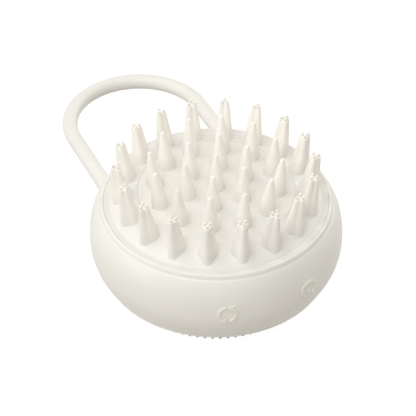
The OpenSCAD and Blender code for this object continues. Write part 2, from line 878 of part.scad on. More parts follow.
// How deep the idler's pin sits in the tray
pin_seat = 1.8;

module idler_pin() {
    color(steel)
        translate([idler_pos.x, idler_pos.y, tray_top_z - pin_seat])
            cylinder(h = cover_z + pin_seat - end_gap - tray_top_z + pin_seat, r = idler_pin_r);
}

module motor_pinion() {
    color(gear_colour)
        gear(pinion_teeth, motor_pos, pinion_phase, motor_shaft_r + fix_gap);
}

// --- Gearbox ---

// The round rooms of the three gears, grown by g
module gear_rooms(g) {
    circle(r = head_pitch_r + tooth_module + gear_room + g);
    translate(idler_pos)
        circle(r = idler_pitch_r + tooth_module + gear_room + g);
    translate(motor_pos)
        circle(r = pinion_pitch_r + tooth_module + gear_room + g);
}

// Places of the screws that close the gearbox
ear_r = 3;
gearbox_bite = 4.3;
ear_ring_r = head_pitch_r + tooth_module + gear_room + room_wall + 1.6;
ear_places = [polar(ear_ring_r, 175), polar(ear_ring_r, 250), polar(ear_ring_r, 325),
    motor_pos + polar(pinion_pitch_r + tooth_module + gear_room + room_wall + 2, 135)];

module ears(z0, z1) {
    for (p = ear_places)
        translate([p.x, p.y, z0])
            cylinder(h = z1 - z0, r = ear_r);
}

module gearbox_tray() {
    motor_plate_r = motor_r - 1;
    color(dark)
        difference() {
            union() {
                translate([0, 0, tray_z])
                    linear_extrude(plate_t)
                        gear_rooms(room_wall);
                translate([motor_pos.x, motor_pos.y, tray_z])
                    cylinder(h = plate_t, r = motor_plate_r);
                translate([0, 0, tray_top_z - eps])
                    linear_extrude(cover_z - tray_top_z + eps)
                        difference() {
                            gear_rooms(room_wall);
                            gear_rooms(0);
                        }
                difference() {
                    ears(tray_z, cover_z);
                    translate([0, 0, tray_top_z])
                        linear_extrude(cover_z)
                            gear_rooms(0);
                }
                translate([0, 0, tray_boss_z])
                    cylinder(h = tray_z - tray_boss_z + eps, r = boss_r);
            }
            translate([0, 0, tray_top_z - lower_bush_h - eps])
                cylinder(h = lower_bush_h + 1, r = bush_r + fix_gap);
            translate([motor_pos.x, motor_pos.y, tray_z - 1])
                cylinder(h = plate_t + 2, r = motor_nose_r + fix_gap);
            translate([idler_pos.x, idler_pos.y, tray_top_z - pin_seat])
                cylinder(h = pin_seat + eps, r = idler_pin_r + fix_gap);
            for (side = [-1, 1])
                translate([motor_pos.x, motor_pos.y + side * motor_screw_y, 0]) {
                    translate([0, 0, tray_top_z - head_screw_h])
                        cylinder(h = head_screw_h + 1, r = head_screw_r + fix_gap);
                    translate([0, 0, tray_z - 1])
                        cylinder(h = plate_t, r = screw_r + fix_gap);
                }
            for (p = ear_places)
                screw_hole(p, cover_z - gearbox_bite - 2 * end_gap, gearbox_bite + 1);
        }
}

module gearbox_cover() {
    color(dark)
        difference() {
            union() {
                translate([0, 0, cover_z])
                    linear_extrude(plate_t)
                        gear_rooms(room_wall);
                ears(cover_z, cover_top_z);
                translate([0, 0, cover_top_z - eps])
                    cylinder(h = cover_boss_z - cover_top_z + eps, r = boss_r);
                for (i = [0 : arm_count - 1])
                    rotate([0, 0, arm_first + i * 360 / arm_count]) {
                        translate([arm_start, -arm_w / 2, cover_z])
                            cube([pad_screw_r - arm_start, arm_w, plate_t]);
                        translate([pad_screw_r, 0, cover_z])
                            cylinder(h = plate_t, r = lug_r);
                    }
                for (side = [-1, 1])
                    board_arm(side);
            }
            translate([0, 0, cover_z - 1])
                cylinder(h = cover_boss_z - cover_z, r = bush_r + fix_gap);
            translate([0, 0, cover_boss_z - seal_t - eps])
                cylinder(h = seal_t + 1, r = seal_r + fix_gap);
            translate([idler_pos.x, idler_pos.y, cover_z - 1])
                cylinder(h = 1 + pin_seat - end_gap, r = idler_pin_r + fix_gap);
            for (p = ear_places)
                screw_hole(p, cover_z - 1, plate_t + 2);
            for (i = [0 : arm_count - 1])
                screw_hole(polar(pad_screw_r, arm_first + i * 360 / arm_count), cover_z - 1, plate_t + 2);
            for (side = [-1, 1])
                screw_hole([side * board_screw_x, -board_screw_y], board_top_z - 1, board_bite + 1.4);
        }
}

// Arm and post of the cover that the circuit board hangs from
module board_arm(side) {
    angle = atan2(-board_screw_y, side * board_screw_x);
    reach = norm([board_screw_x, board_screw_y]);
    rotate([0, 0, angle])
        translate([arm_start, -post_r, cover_z])
            cube([reach - arm_start, 2 * post_r, plate_t]);
    translate([side * board_screw_x, -board_screw_y, board_top_z])
        cylinder(h = cover_top_z - board_top_z, r = board_post_r);
}

module gearbox_screws() {
    color(steel)
        for (p = ear_places)
            translate([p.x, p.y, cover_top_z + head_screw_h])
                mirror([0, 0, 1]) {
                    cylinder(h = head_screw_h, r = head_screw_r);
                    cylinder(h = head_screw_h + plate_t + gearbox_bite, r = screw_r);
                }
}

module mounting_screws() {
    color(steel)
        for (i = [0 : arm_count - 1])
            screw_up(polar(pad_screw_r, arm_first + i * 360 / arm_count), cover_z, plate_t + pad_bite);
}

module shaft_seal() {
    color(dark)
        band(shaft_r + run_gap, seal_r, cover_boss_z - seal_t, cover_boss_z);
}

module upper_bush() {
    color([0.75, 0.6, 0.35])
        union() {
            band(shaft_r + run_gap, bush_r, cover_z - eps, cover_z + upper_bush_h);
            band(shaft_r + run_gap, bush_flange_r, cover_z - flange_t, cover_z);
        }
}

module lower_bush() {
    color([0.75, 0.6, 0.35])
        union() {
            band(shaft_r + run_gap, bush_r, tray_top_z - lower_bush_h, tray_top_z + eps);
            band(shaft_r + run_gap, bush_flange_r, tray_top_z, tray_top_z + flange_t);
        }
}

// --- Motor ---

can_t = 0.6;
motor_nose_r = 3;
motor_nose_h = 0.8;
motor_screw_y = 8;
end_cap_t = 1.2;
magnet_t = 2.2;
armature_gap = 0.5;

module motor_can() {
    z0 = tray_z - motor_h;
    color(steel)
        translate([motor_pos.x, motor_pos.y, 0])
            difference() {
                union() {
                    translate([0, 0, z0])
                        cylinder(h = motor_h, r = motor_r);
                    translate([0, 0, tray_z - eps])
                        cylinder(h = motor_nose_h + eps, r = motor_nose_r);
                }
                translate([0, 0, z0 - 1])
                    cylinder(h = motor_h - can_t * 2 + 1, r = motor_r - can_t);
                translate([0, 0, tray_z - 3])
                    cylinder(h = 5, r = motor_shaft_r + run_gap);
                for (side = [-1, 1])
                    translate([0, side * motor_screw_y, tray_z - 3])
                        cylinder(h = 5, r = screw_r + fix_gap);
            }
}

module motor_end_cap() {
    z0 = tray_z - motor_h;
    color(dark)
        translate([motor_pos.x, motor_pos.y, 0])
            difference() {
                translate([0, 0, z0])
                    cylinder(h = end_cap_t, r = motor_r - can_t);
                translate([0, 0, z0 + end_cap_t / 2])
                    cylinder(h = end_cap_t, r = motor_shaft_r + run_gap);
            }
}

module motor_magnets() {
    z0 = tray_z - motor_h + end_cap_t + 1;
    z1 = tray_z - can_t * 2 - 1.5;
    color(dark)
        translate([motor_pos.x, motor_pos.y, 0])
            difference() {
                band(motor_r - can_t - magnet_t, motor_r - can_t, z0, z1);
                translate([-1.5, -motor_r, z0 - 1])
                    cube([3, 2 * motor_r, z1 - z0 + 2]);
            }
}

module motor_screws() {
    color(steel)
        for (side = [-1, 1])
            translate([motor_pos.x, motor_pos.y + side * motor_screw_y, tray_top_z])
                mirror([0, 0, 1]) {
                    cylinder(h = head_screw_h, r = head_screw_r);
                    cylinder(h = plate_t + can_t * 2, r = screw_r);
                }
}

module motor_shaft() {
    z0 = tray_z - motor_h + end_cap_t / 2 + end_gap;
    color(steel)
        translate([motor_pos.x, motor_pos.y, z0])
            cylinder(h = gear_top_z - z0, r = motor_shaft_r);
}

module motor_armature() {
    z0 = tray_z - motor_h + end_cap_t + 1;
    z1 = tray_z - can_t * 2 - 1.5;
    core_r = motor_r - can_t - magnet_t - armature_gap;
    color([0.72, 0.45, 0.2])
        translate([motor_pos.x, motor_pos.y, z0])
            difference() {
                cylinder(h = z1 - z0, r = core_r);
                translate([0, 0, -1])
                    cylinder(h = z1 - z0 + 2, r = motor_shaft_r + fix_gap);
                for (i = [0 : 2])
                    rotate([0, 0, i * 120])
                        translate([core_r - 3, -0.5, -1])
                            cube([4, 1, z1 - z0 + 2]);
            }
}

// --- Buttons, switches and board ---

// A stroke of the signs: a line swung through the points, with round ends
module straight_stroke(p, q) {
    a = atan2(q.y - p.y, q.x - p.x);
    polygon(concat(
        [for (t = [-90 : 30 : 90]) q + polar(sign_w / 2, a + t)],
        [for (t = [90 : 30 : 270]) p + polar(sign_w / 2, a + t)]));
}

// A curved stroke of radius r from angle a0 to angle a1, with round ends
module curved_stroke(r, a0, a1) {
    n = 16;
    polygon(concat(
        [for (i = [0 : n]) polar(r + sign_w / 2, a0 + (a1 - a0) * i / n)],
        [for (t = [30 : 30 : 150]) polar(r, a1) + polar(sign_w / 2, a1 + t)],
        [for (i = [n : -1 : 0]) polar(r - sign_w / 2, a0 + (a1 - a0) * i / n)],
        [for (t = [-150 : 30 : -30]) polar(r, a0) + polar(sign_w / 2, a0 + t)]));
}

// Raises one flat shape above the body at a button
module raised(side) {
    intersection() {
        translate([0, 0, equator_z])
            sphere(r = body_r + sign_h);
        at_button(side)
            rotate([90, 0, 90])
                translate([0, 0, inner_r])
                    linear_extrude(wall + 2)
                        children();
    }
}

// The power sign lies with its gap and bar at the bottom
module power_sign(side) {
    raised(side)
        curved_stroke(sign_r, -55, 235);
    raised(side)
        straight_stroke([0, -sign_r - 0.5], [0, -0.8]);
}

// Two half rings that chase each other, each with an arrow head
module mode_sign(side) {
    r = sign_r - 0.2;
    head = 1.5 * sign_w;
    for (a = [0, 180]) {
        raised(side)
            rotate([0, 0, a])
                curved_stroke(r, -72, 60);
        raised(side)
            rotate([0, 0, a])
                polygon([polar(r - head, 57), polar(r, 92), polar(r + head, 57)]);
    }
}

// A whole button: cap with the body's curve, collar and stem
module button(side) {
    intersection() {
        body_form();
        button_rod(side, flange_u, body_r + 1, button_r);
    }
    button_rod(side, flange_u, flange_u + button_flange_t, flange_r);
    button_rod(side, stem_u, flange_u + eps, stem_r);
}

module power_button() {
    color(hard) {
        button(1);
        power_sign(1);
    }
}

module mode_button() {
    color(hard) {
        button(-1);
        mode_sign(-1);
    }
}

module plunger(side) {
    button_rod(side, switch_u - plunger_in, switch_u + plunger_out, plunger_r);
}

module power_plunger() {
    color(dark)
        plunger(1);
}

module mode_plunger() {
    color(dark)
        plunger(-1);
}

module push_switch(side) {
    half_h = button_z - board_top_z;
    difference() {
        at_button(side)
            translate([switch_u - switch_depth, -switch_w / 2, -half_h])
                cube([switch_depth, switch_w, 2 * half_h]);
        button_rod(side, switch_u - plunger_in - button_travel - end_gap, switch_u + 1, plunger_r + run_gap);
    }
}

module power_switch() {
    color(steel)
        push_switch(1);
}

module mode_switch() {
    color(steel)
        push_switch(-1);
}

module circuit_board() {
    color([0.1, 0.35, 0.2])
        difference() {
            intersection() {
                translate([0, 0, board_z])
                    cylinder(h = board_t, r = board_r);
                translate([-board_x, -body_r, board_z - 1])
                    cube([2 * board_x, body_r - board_y, board_t + 2]);
            }
            for (side = [-1, 1])
                screw_hole([side * board_screw_x, -board_screw_y], board_z - 1, board_t + 2);
        }
}

// Corner of each component on the board, from the middle of its rear edge, and its size
board_parts = [
    [[-2.5, 8.5], [5, 5, 1]],
    [[4.5, 7], [4, 4, 2.6]],
    [[-9.5, 5.5], [3.5, 2.5, 1.6]]];

module board_components() {
    color(dark)
        for (part = board_parts)
            translate([part[0].x, -board_y - part[0].y, board_top_z])
                cube(part[1]);
}

module board_screws() {
    color(steel)
        for (side = [-1, 1])
            screw_up([side * board_screw_x, -board_screw_y], board_z, board_t + board_bite);
}

// --- Power ---

module battery_cell() {
    color([0.6, 0.65, 0.72])
        translate([-cell_w / 2, cell_front_y, cell_z])
            cube([cell_w, cell_l, cell_t]);
}

// How far inside the cell's edges the tape ends
tape_in = 2;

module battery_tape() {
    color(dark)
        translate([-cell_w / 2 + tape_in, cell_front_y + tape_in, floor_z])
            cube([cell_w - 2 * tape_in, cell_l - 2 * tape_in, cell_z - floor_z]);
}

module charge_contacts() {
    color([0.85, 0.7, 0.4])
        for (side = [-1, 1])
            translate([side * contact_x, contact_y, 0]) {
                translate([0, 0, under_z + 0.1])
                    cylinder(h = floor_z - under_z, r = contact_r);
                translate([0, 0, floor_z])
                    cylinder(h = contact_pad, r = contact_r + contact_pad);
            }
}

// A lead along a list of points
module lead(points) {
    for (i = [0 : len(points) - 2])
        rod(points[i], points[i + 1], lead_r, lead_r);
    for (i = [1 : len(points) - 2])
        translate(points[i])
            sphere(r = lead_r);
}

module battery_leads() {
    x = 9;
    y = cell_front_y;
    z = cell_z + 5;
    color("firebrick")
        for (side = [-1, 1])
            lead([[side * x, y, z], [side * x, y - 2, z], [side * x, y - 2, board_z]]);
}

module motor_leads() {
    x = 1.5;
    y = -board_y - 1.5;
    z = cell_z + cell_t + 2.1;
    face_y = motor_y - sqrt(pow(motor_r, 2) - pow(x, 2));
    color("royalblue")
        for (side = [-1, 1])
            lead([[side * x, face_y - 0.1, z], [side * x, y, z], [side * x, y, board_z]]);
}

module charge_leads() {
    color("firebrick")
        for (side = [-1, 1])
            lead([[side * contact_x, contact_y, floor_z + contact_pad],
                [side * contact_x, contact_y, board_z]]);
}

upper_shell();
base_shell();
bristle_pad();
pad_ring();
pad_ring_screws();
nub_ring();
foot_pad();
housing_seal();
base_screws();
handle_loop();
handle_seals();
handle_screws();
cone_pad();
head_carrier();
carrier_screw();
head_shaft();
head_gear();
gearbox_cover();
gearbox_tray();
gearbox_screws();
mounting_screws();
shaft_seal();
upper_bush();
lower_bush();
idler_gear();
idler_pin();
motor_can();
motor_end_cap();
motor_magnets();
motor_screws();
motor_shaft();
motor_pinion();
motor_armature();
power_button();
mode_button();
power_plunger();
mode_plunger();
power_switch();
mode_switch();
circuit_board();
board_components();
board_screws();
battery_cell();
battery_tape();
charge_contacts();
battery_leads();
motor_leads();
charge_leads();
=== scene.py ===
# %% [markdown]
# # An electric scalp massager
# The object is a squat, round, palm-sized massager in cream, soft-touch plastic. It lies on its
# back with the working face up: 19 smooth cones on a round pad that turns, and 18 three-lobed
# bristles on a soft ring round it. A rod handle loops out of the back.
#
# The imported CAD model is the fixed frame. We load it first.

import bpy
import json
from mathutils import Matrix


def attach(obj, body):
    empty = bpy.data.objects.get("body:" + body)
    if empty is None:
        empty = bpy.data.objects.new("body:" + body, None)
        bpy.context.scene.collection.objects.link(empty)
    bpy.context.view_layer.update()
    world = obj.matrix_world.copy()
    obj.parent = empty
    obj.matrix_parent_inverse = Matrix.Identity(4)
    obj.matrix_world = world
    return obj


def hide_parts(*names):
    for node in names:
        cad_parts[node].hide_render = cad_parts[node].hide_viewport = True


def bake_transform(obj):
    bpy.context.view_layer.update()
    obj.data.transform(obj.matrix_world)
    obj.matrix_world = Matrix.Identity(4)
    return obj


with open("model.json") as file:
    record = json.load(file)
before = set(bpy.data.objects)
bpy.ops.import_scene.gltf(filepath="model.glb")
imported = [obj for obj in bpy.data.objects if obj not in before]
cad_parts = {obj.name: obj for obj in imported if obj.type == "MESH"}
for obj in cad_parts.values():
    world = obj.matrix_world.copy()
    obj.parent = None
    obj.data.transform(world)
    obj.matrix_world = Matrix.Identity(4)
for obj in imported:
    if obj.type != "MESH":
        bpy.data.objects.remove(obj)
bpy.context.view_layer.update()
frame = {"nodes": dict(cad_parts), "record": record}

import json
import math

import bmesh
import bpy
import numpy as np
from mathutils import Matrix, Vector

MM = 0.001
scene = bpy.context.scene
scene.view_settings.view_transform = "Standard"

# %% [markdown]
# ## The camera
# A product photo of a small object is taken with a long lens, from well above and a little to the
# left. We place the camera from its angles: a direction back to the lens, and the two directions
# across the picture. Measured this way, the camera can be checked against any point of the object.

# %% Camera at the photo's angle
# Angles in degrees, the lens in millimetres, and all else in metres
AZIMUTH, ELEVATION, ROLL = (math.radians(a) for a in (-24.78, 39.978, -0.113))
AIM_Z = 0.05219
DISTANCE = 0.62948
LENS, SENSOR = 157.52, 36
ACROSS, UPWARDS = -0.002854, -0.016401

back = Vector((math.sin(AZIMUTH) * math.cos(ELEVATION), -math.cos(AZIMUTH) * math.cos(ELEVATION),
               math.sin(ELEVATION)))
right = Vector((math.cos(AZIMUTH), math.sin(AZIMUTH), 0))
up = back.cross(right)

camera = bpy.data.objects.new("photo_camera", bpy.data.cameras.new("photo_camera"))
scene.collection.objects.link(camera)
camera.data.lens = LENS
camera.data.sensor_width = SENSOR
camera.data.clip_start = 0.01
camera.location = Vector((0, 0, AIM_Z)) + back * DISTANCE + right * ACROSS + up * UPWARDS
turn = Matrix((right, up, back)).transposed()
camera.rotation_euler = (turn @ Matrix.Rotation(ROLL, 3, "Z")).to_euler()
scene.camera = camera
print("camera at", [round(v, 4) for v in camera.location])

# %% [markdown]
# ## The sizes
# Every size below is a plain number in millimetres. They follow the CAD. Where the photo's light
# asks for it, an edge, a seam or a sign differs from the CAD by a few tenths. The body is turned on
# a lathe in our heads: one outline, spun round the Z axis. Its side is a squashed circle (a
# superellipse), flatter at the widest place than a true circle. One short rule gives its radius at
# any height, so the shell, the buttons and the raised signs all agree on where the surface is.

# %% Sizes of the body
BODY_R, EQUATOR_Z = 44.99, 19.5
SPLIT_Z, WALL = 6.4, 2.0
# End radius, end height and power of the side's curve, above and below the widest place
UPPER_CURVE = (31.0, 38.3, 2.38)
LOWER_CURVE = (27.7, -0.4, 1.85)
LEDGE_R, LEDGE_Z, LEDGE_T = 35.2, 30.2, 3.0
BAND_OUT_R, BAND_IN_R, BAND_Z = 39.66, 37.5, 34.8
SLOPE_END_R, SEAM_R, SEAM_Z = 27.8, 27.69, 39.35
HEAD_R, DOME_Z, PAD_UNDER_Z = 27.655, 40.35, 37.2
UNDER_Z = 0.9


def body_radius(z, inset=0.0):
    """Radius of the body's outside at a height, or of a wall set in by inset."""
    end_r, end_z, power = UPPER_CURVE if z >= EQUATOR_Z else LOWER_CURVE
    end_z += -inset if z >= EQUATOR_Z else inset
    share = (z - EQUATOR_Z) / (end_z - EQUATOR_Z)
    return end_r + (BODY_R - inset - end_r) * max(0, 1 - share ** power) ** (1 / power)


def side_points(heights, inset=0.0):
    """Outline points (radius, height) of the body's side at some heights."""
    return [(body_radius(z, inset), z) for z in heights]


def slope_z(r):
    """Height of the bristle ring's sloping face at a radius."""
    return BAND_Z + (SEAM_Z - BAND_Z) / (BAND_IN_R - SLOPE_END_R) * (BAND_IN_R - r)


def dome_z(r):
    """Height of the turning pad's shallow dome at a radius."""
    return DOME_Z - (DOME_Z - SEAM_Z) * (r / HEAD_R) ** 2


print("body radius at the parting line:", round(body_radius(SPLIT_Z), 2), "mm")

# %% [markdown]
# ## Helpers for meshes
# Moulded parts have no truly sharp corners: every edge has a small rounding that catches the light.
# A bevel modifier could round them afterwards. For a turned part it is neater to round the corners
# of the outline before it is spun, since then each rounding has exactly the radius we name.

# %% Outline, lathe and piece helpers
FILLET_STEPS = 4


def filleted(corners):
    """An outline through corners of (radius, height, rounding), with an arc at each rounded one."""
    outline = []
    for i, (x, y, rounding) in enumerate(corners):
        corner = Vector((x, y))
        if not rounding:
            outline.append((x, y))
            continue
        a = (Vector(corners[i - 1][:2]) - corner).normalized()
        b = (Vector(corners[(i + 1) % len(corners)][:2]) - corner).normalized()
        half = a.angle(b) / 2
        centre = corner + (a + b).normalized() * rounding / math.sin(half)
        first = corner + a * rounding / math.tan(half) - centre
        last = corner + b * rounding / math.tan(half) - centre
        swing = first.angle_signed(last)
        for k in range(FILLET_STEPS + 1):
            outline.append(tuple(centre + Matrix.Rotation(-swing * k / FILLET_STEPS, 2) @ first))
    return outline


def turned(outline, count, closed=False):
    """Points and faces of an outline, up outside and down inside, spun round the Z axis."""
    points, rings, faces = [], [], []
    angles = [2 * math.pi * i / count for i in range(count)]
    for r, z in outline:
        if r < 1e-6:
            rings.append([len(points)] * count)
            points.append((0, 0, z))
        else:
            rings.append(range(len(points), len(points) + count))
            points += [(r * math.cos(a), r * math.sin(a), z) for a in angles]
    for low, high in zip(rings, rings[1:] + (rings[:1] if closed else [])):
        for i in range(count):
            k = (i + 1) % count
            face = list(dict.fromkeys((low[i], low[k], high[k], high[i])))
            if len(face) > 2:
                faces.append(face)
    return points, faces


def mesh_object(name, points, faces, edges=()):
    """A mesh object from points in millimetres."""
    mesh = bpy.data.meshes.new(name)
    mesh.from_pydata([tuple(MM * v for v in p) for p in points], list(edges), faces)
    made = bpy.data.objects.new(name, mesh)
    scene.collection.objects.link(made)
    return made


def smooth(made, sharp_over=38):
    """Smooth shading, with edges kept sharp where faces meet at a steep angle."""
    made.data.shade_smooth()
    made.data.set_sharp_from_angle(angle=math.radians(sharp_over))
    return made


def object_of(bm, name):
    """An object from a bmesh, which is used up."""
    mesh = bpy.data.meshes.new(name)
    bm.to_mesh(mesh)
    bm.free()
    made = bpy.data.objects.new(name, mesh)
    scene.collection.objects.link(made)
    return made


def joined(name, *parts):
    """One object from several, which are used up."""
    bm = bmesh.new()
    for part in parts:
        bm.from_mesh(part.data)
        bpy.data.objects.remove(part)
    return object_of(bm, name)


def finished(made, slot, body, *nodes):
    """Dresses a piece by its slot, ties it to its CAD body, and lets it stand for CAD nodes."""
    made.data.materials.clear()
    made.data.materials.append(finishes[slot])
    if nodes:
        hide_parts(*nodes)
    if body:
        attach(made, body)
    made.data.calc_loop_triangles()
    print(f"{made.name}: {len(made.data.loop_triangles)} triangles")


print("helpers: filleted outlines, turned parts, joined and finished pieces")

# %% [markdown]
# ## Shared shader groups
# The whole object is one cream colour, so the interest is in the finish. Three effects come back on
# many pieces, and each is a node group with named inputs:
# - moulded skin: faint clouds of tone, as pigment never mixes perfectly, and the fine grain that a
#   blasted mould leaves;
# - drawn metal: long scratches along one axis;
# - thin silicone, painted glow: prongs let light through, so they are painted lighter than the thick
#   pad under them.
#
# Each group puts out only colours, masks and heights. The shader itself stays in the material.

# %% Node helpers
def add(tree, kind, values=None, links=None, **settings):
    """A node with its settings, socket values and incoming links."""
    made = tree.nodes.new(kind)
    for key, value in settings.items():
        setattr(made, key, value)
    for key, value in (values or {}).items():
        made.inputs[key].default_value = value
    for key, source in (links or {}).items():
        tree.links.new(source, made.inputs[key])
    return made


def shader_group(name, inputs, outputs):
    """An empty shader group with named sockets: (name, type, start value)."""
    tree = bpy.data.node_groups.new(name, "ShaderNodeTree")
    for label, kind, value in inputs:
        socket = tree.interface.new_socket(label, in_out="INPUT", socket_type="NodeSocket" + kind)
        socket.default_value = value
    for label, kind in outputs:
        tree.interface.new_socket(label, in_out="OUTPUT", socket_type="NodeSocket" + kind)
    return tree, tree.nodes.new("NodeGroupInput"), tree.nodes.new("NodeGroupOutput")


# A Mix node's sockets for its two colours, and for the mixed one
MIX_A, MIX_B, MIX_RESULT = 6, 7, 2


def mixed_colour(tree, factor, first, second):
    """The mix of two colour sockets by a factor socket."""
    mix = add(tree, "ShaderNodeMix", None, {"Factor": factor}, data_type="RGBA")
    tree.links.new(first, mix.inputs[MIX_A])
    tree.links.new(second, mix.inputs[MIX_B])
    return mix.outputs[MIX_RESULT]


print("node helpers: add, shader_group, mixed_colour")

# %% The moulded skin group
skin_group, skin_in, skin_out = shader_group(
    "moulded_skin",
    [("Colour", "Color", (0.8, 0.8, 0.8, 1)), ("Deep colour", "Color", (0.7, 0.7, 0.7, 1)),
     ("Clouds per metre", "Float", 60.0), ("Grains per metre", "Float", 4000.0),
     ("Roughness", "Float", 0.45), ("Roughness spread", "Float", 0.06)],
    [("Colour", "Color"), ("Roughness", "Float"), ("Height", "Float")])
place = add(skin_group, "ShaderNodeTexCoord").outputs["Object"]
clouds = add(skin_group, "ShaderNodeTexNoise", {"Detail": 3.0, "Roughness": 0.55},
             {"Vector": place, "Scale": skin_in.outputs["Clouds per metre"]})
grain = add(skin_group, "ShaderNodeTexNoise", {"Detail": 2.0, "Roughness": 0.6},
            {"Vector": place, "Scale": skin_in.outputs["Grains per metre"]})
tone = add(skin_group, "ShaderNodeMapRange", {"From Min": 0.35, "From Max": 0.65},
           {"Value": clouds.outputs["Fac"]}, interpolation_type="SMOOTHSTEP")
skin_colour = mixed_colour(skin_group, tone.outputs["Result"], skin_in.outputs["Colour"],
                           skin_in.outputs["Deep colour"])
centred = add(skin_group, "ShaderNodeMath", {1: 0.5}, {0: grain.outputs["Fac"]},
              operation="SUBTRACT")
rough = add(skin_group, "ShaderNodeMath", None,
            {0: centred.outputs[0], 1: skin_in.outputs["Roughness spread"],
             2: skin_in.outputs["Roughness"]}, operation="MULTIPLY_ADD")
skin_group.links.new(skin_colour, skin_out.inputs["Colour"])
skin_group.links.new(rough.outputs[0], skin_out.inputs["Roughness"])
skin_group.links.new(grain.outputs["Fac"], skin_out.inputs["Height"])
print("group", skin_group.name, "has", len(skin_group.nodes), "nodes")

# %% The drawn metal group
# How far the noise is drawn out along Z, and how much it roughens the metal
SCRATCH_STRETCH, SCRATCH_ROUGHNESS = 0.04, 0.2
metal_group, metal_in, metal_out = shader_group(
    "drawn_metal",
    [("Colour", "Color", (0.6, 0.6, 0.6, 1)), ("Dark colour", "Color", (0.4, 0.4, 0.4, 1)),
     ("Scratches per metre", "Float", 9000.0), ("Roughness", "Float", 0.3)],
    [("Colour", "Color"), ("Roughness", "Float"), ("Height", "Float")])
place = add(metal_group, "ShaderNodeTexCoord").outputs["Object"]
drawn = add(metal_group, "ShaderNodeMapping", {"Scale": (1.0, 1.0, SCRATCH_STRETCH)},
            {"Vector": place})
scratch = add(metal_group, "ShaderNodeTexNoise", {"Detail": 2.0},
              {"Vector": drawn.outputs[0], "Scale": metal_in.outputs["Scratches per metre"]})
metal_colour = mixed_colour(metal_group, scratch.outputs["Fac"], metal_in.outputs["Colour"],
                            metal_in.outputs["Dark colour"])
rough = add(metal_group, "ShaderNodeMath", {1: SCRATCH_ROUGHNESS},
            {0: scratch.outputs["Fac"], 2: metal_in.outputs["Roughness"]},
            operation="MULTIPLY_ADD")
metal_group.links.new(metal_colour, metal_out.inputs["Colour"])
metal_group.links.new(rough.outputs[0], metal_out.inputs["Roughness"])
metal_group.links.new(scratch.outputs["Fac"], metal_out.inputs["Height"])
print("group", metal_group.name, "has", len(metal_group.nodes), "nodes")

# %% The painted glow group for thin silicone
# Height over the pad, in metres, at which the painted glow begins
FADE_START = 0.0003
# Painted glow: the prongs are coloured lighter higher up, standing for light let through thin
# silicone
painted_glow_group, painted_glow_in, painted_glow_out = shader_group(
    "painted_glow_silicone",
    [("Thick colour", "Color", (0.8, 0.8, 0.8, 1)), ("Painted glow colour", "Color", (0.9, 0.9, 0.9, 1)),
     ("Slope from radius", "Float", 0.0277), ("Slope to radius", "Float", 0.0375),
     ("Slope top", "Float", 0.0396), ("Slope foot", "Float", 0.0348),
     ("Fade height", "Float", 0.006)],
    [("Colour", "Color")])
place = add(painted_glow_group, "ShaderNodeTexCoord").outputs["Object"]
height = add(painted_glow_group, "ShaderNodeSeparateXYZ", None, {0: place}).outputs["Z"]
flat_place = add(painted_glow_group, "ShaderNodeVectorMath", {1: (1.0, 1.0, 0.0)}, {0: place},
                 operation="MULTIPLY")
radius = add(painted_glow_group, "ShaderNodeVectorMath", None, {0: flat_place.outputs["Vector"]},
             operation="LENGTH")
face_z = add(painted_glow_group, "ShaderNodeMapRange", None,
             {"Value": radius.outputs["Value"],
              "From Min": painted_glow_in.outputs["Slope from radius"],
              "From Max": painted_glow_in.outputs["Slope to radius"],
              "To Min": painted_glow_in.outputs["Slope top"], "To Max": painted_glow_in.outputs["Slope foot"]})
above = add(painted_glow_group, "ShaderNodeMath", None, {0: height, 1: face_z.outputs["Result"]},
            operation="SUBTRACT")
rise = add(painted_glow_group, "ShaderNodeMapRange", {"From Min": FADE_START},
           {"Value": above.outputs[0], "From Max": painted_glow_in.outputs["Fade height"]})
painted_glow_result = mixed_colour(painted_glow_group, rise.outputs["Result"], painted_glow_in.outputs["Thick colour"],
                           painted_glow_in.outputs["Painted glow colour"])
painted_glow_group.links.new(painted_glow_result, painted_glow_out.inputs["Colour"])
print("group", painted_glow_group.name, "has", len(painted_glow_group.nodes), "nodes")

# %% [markdown]
# ## The finishes
# A cream object in soft light is hard to get right: a few hundredths of colour make it look like
# paper or like butter. The soft parts are silicone, which lets a little light in and out again, so
# its thin prongs look lighter than the pad they stand on. Subsurface scattering would do this, but
# on parts a few millimetres thick it leaves specks and dark outlines. A lighter colour higher up is
# clean and cheap.

# %% Finishes of the outside
PLASTIC_IOR, SKIN_SPREAD = 1.45, 0.08
SKIN_BUMP, METAL_BUMP = 0.6, 0.5


def group_material(name, group, values, strength, relief):
    """A material fed by a group. Gives back the material, the group's node and the shader."""
    made = bpy.data.materials.new(name)
    made.use_nodes = True
    tree = made.node_tree
    shader = tree.nodes["Principled BSDF"]
    source = add(tree, "ShaderNodeGroup", node_tree=group)
    for label, value in values.items():
        source.inputs[label].default_value = value
    bump = add(tree, "ShaderNodeBump", {"Strength": strength, "Distance": relief},
               {"Height": source.outputs["Height"]})
    tree.links.new(source.outputs["Colour"], shader.inputs["Base Color"])
    tree.links.new(source.outputs["Roughness"], shader.inputs["Roughness"])
    tree.links.new(bump.outputs["Normal"], shader.inputs["Normal"])
    return made, source, shader


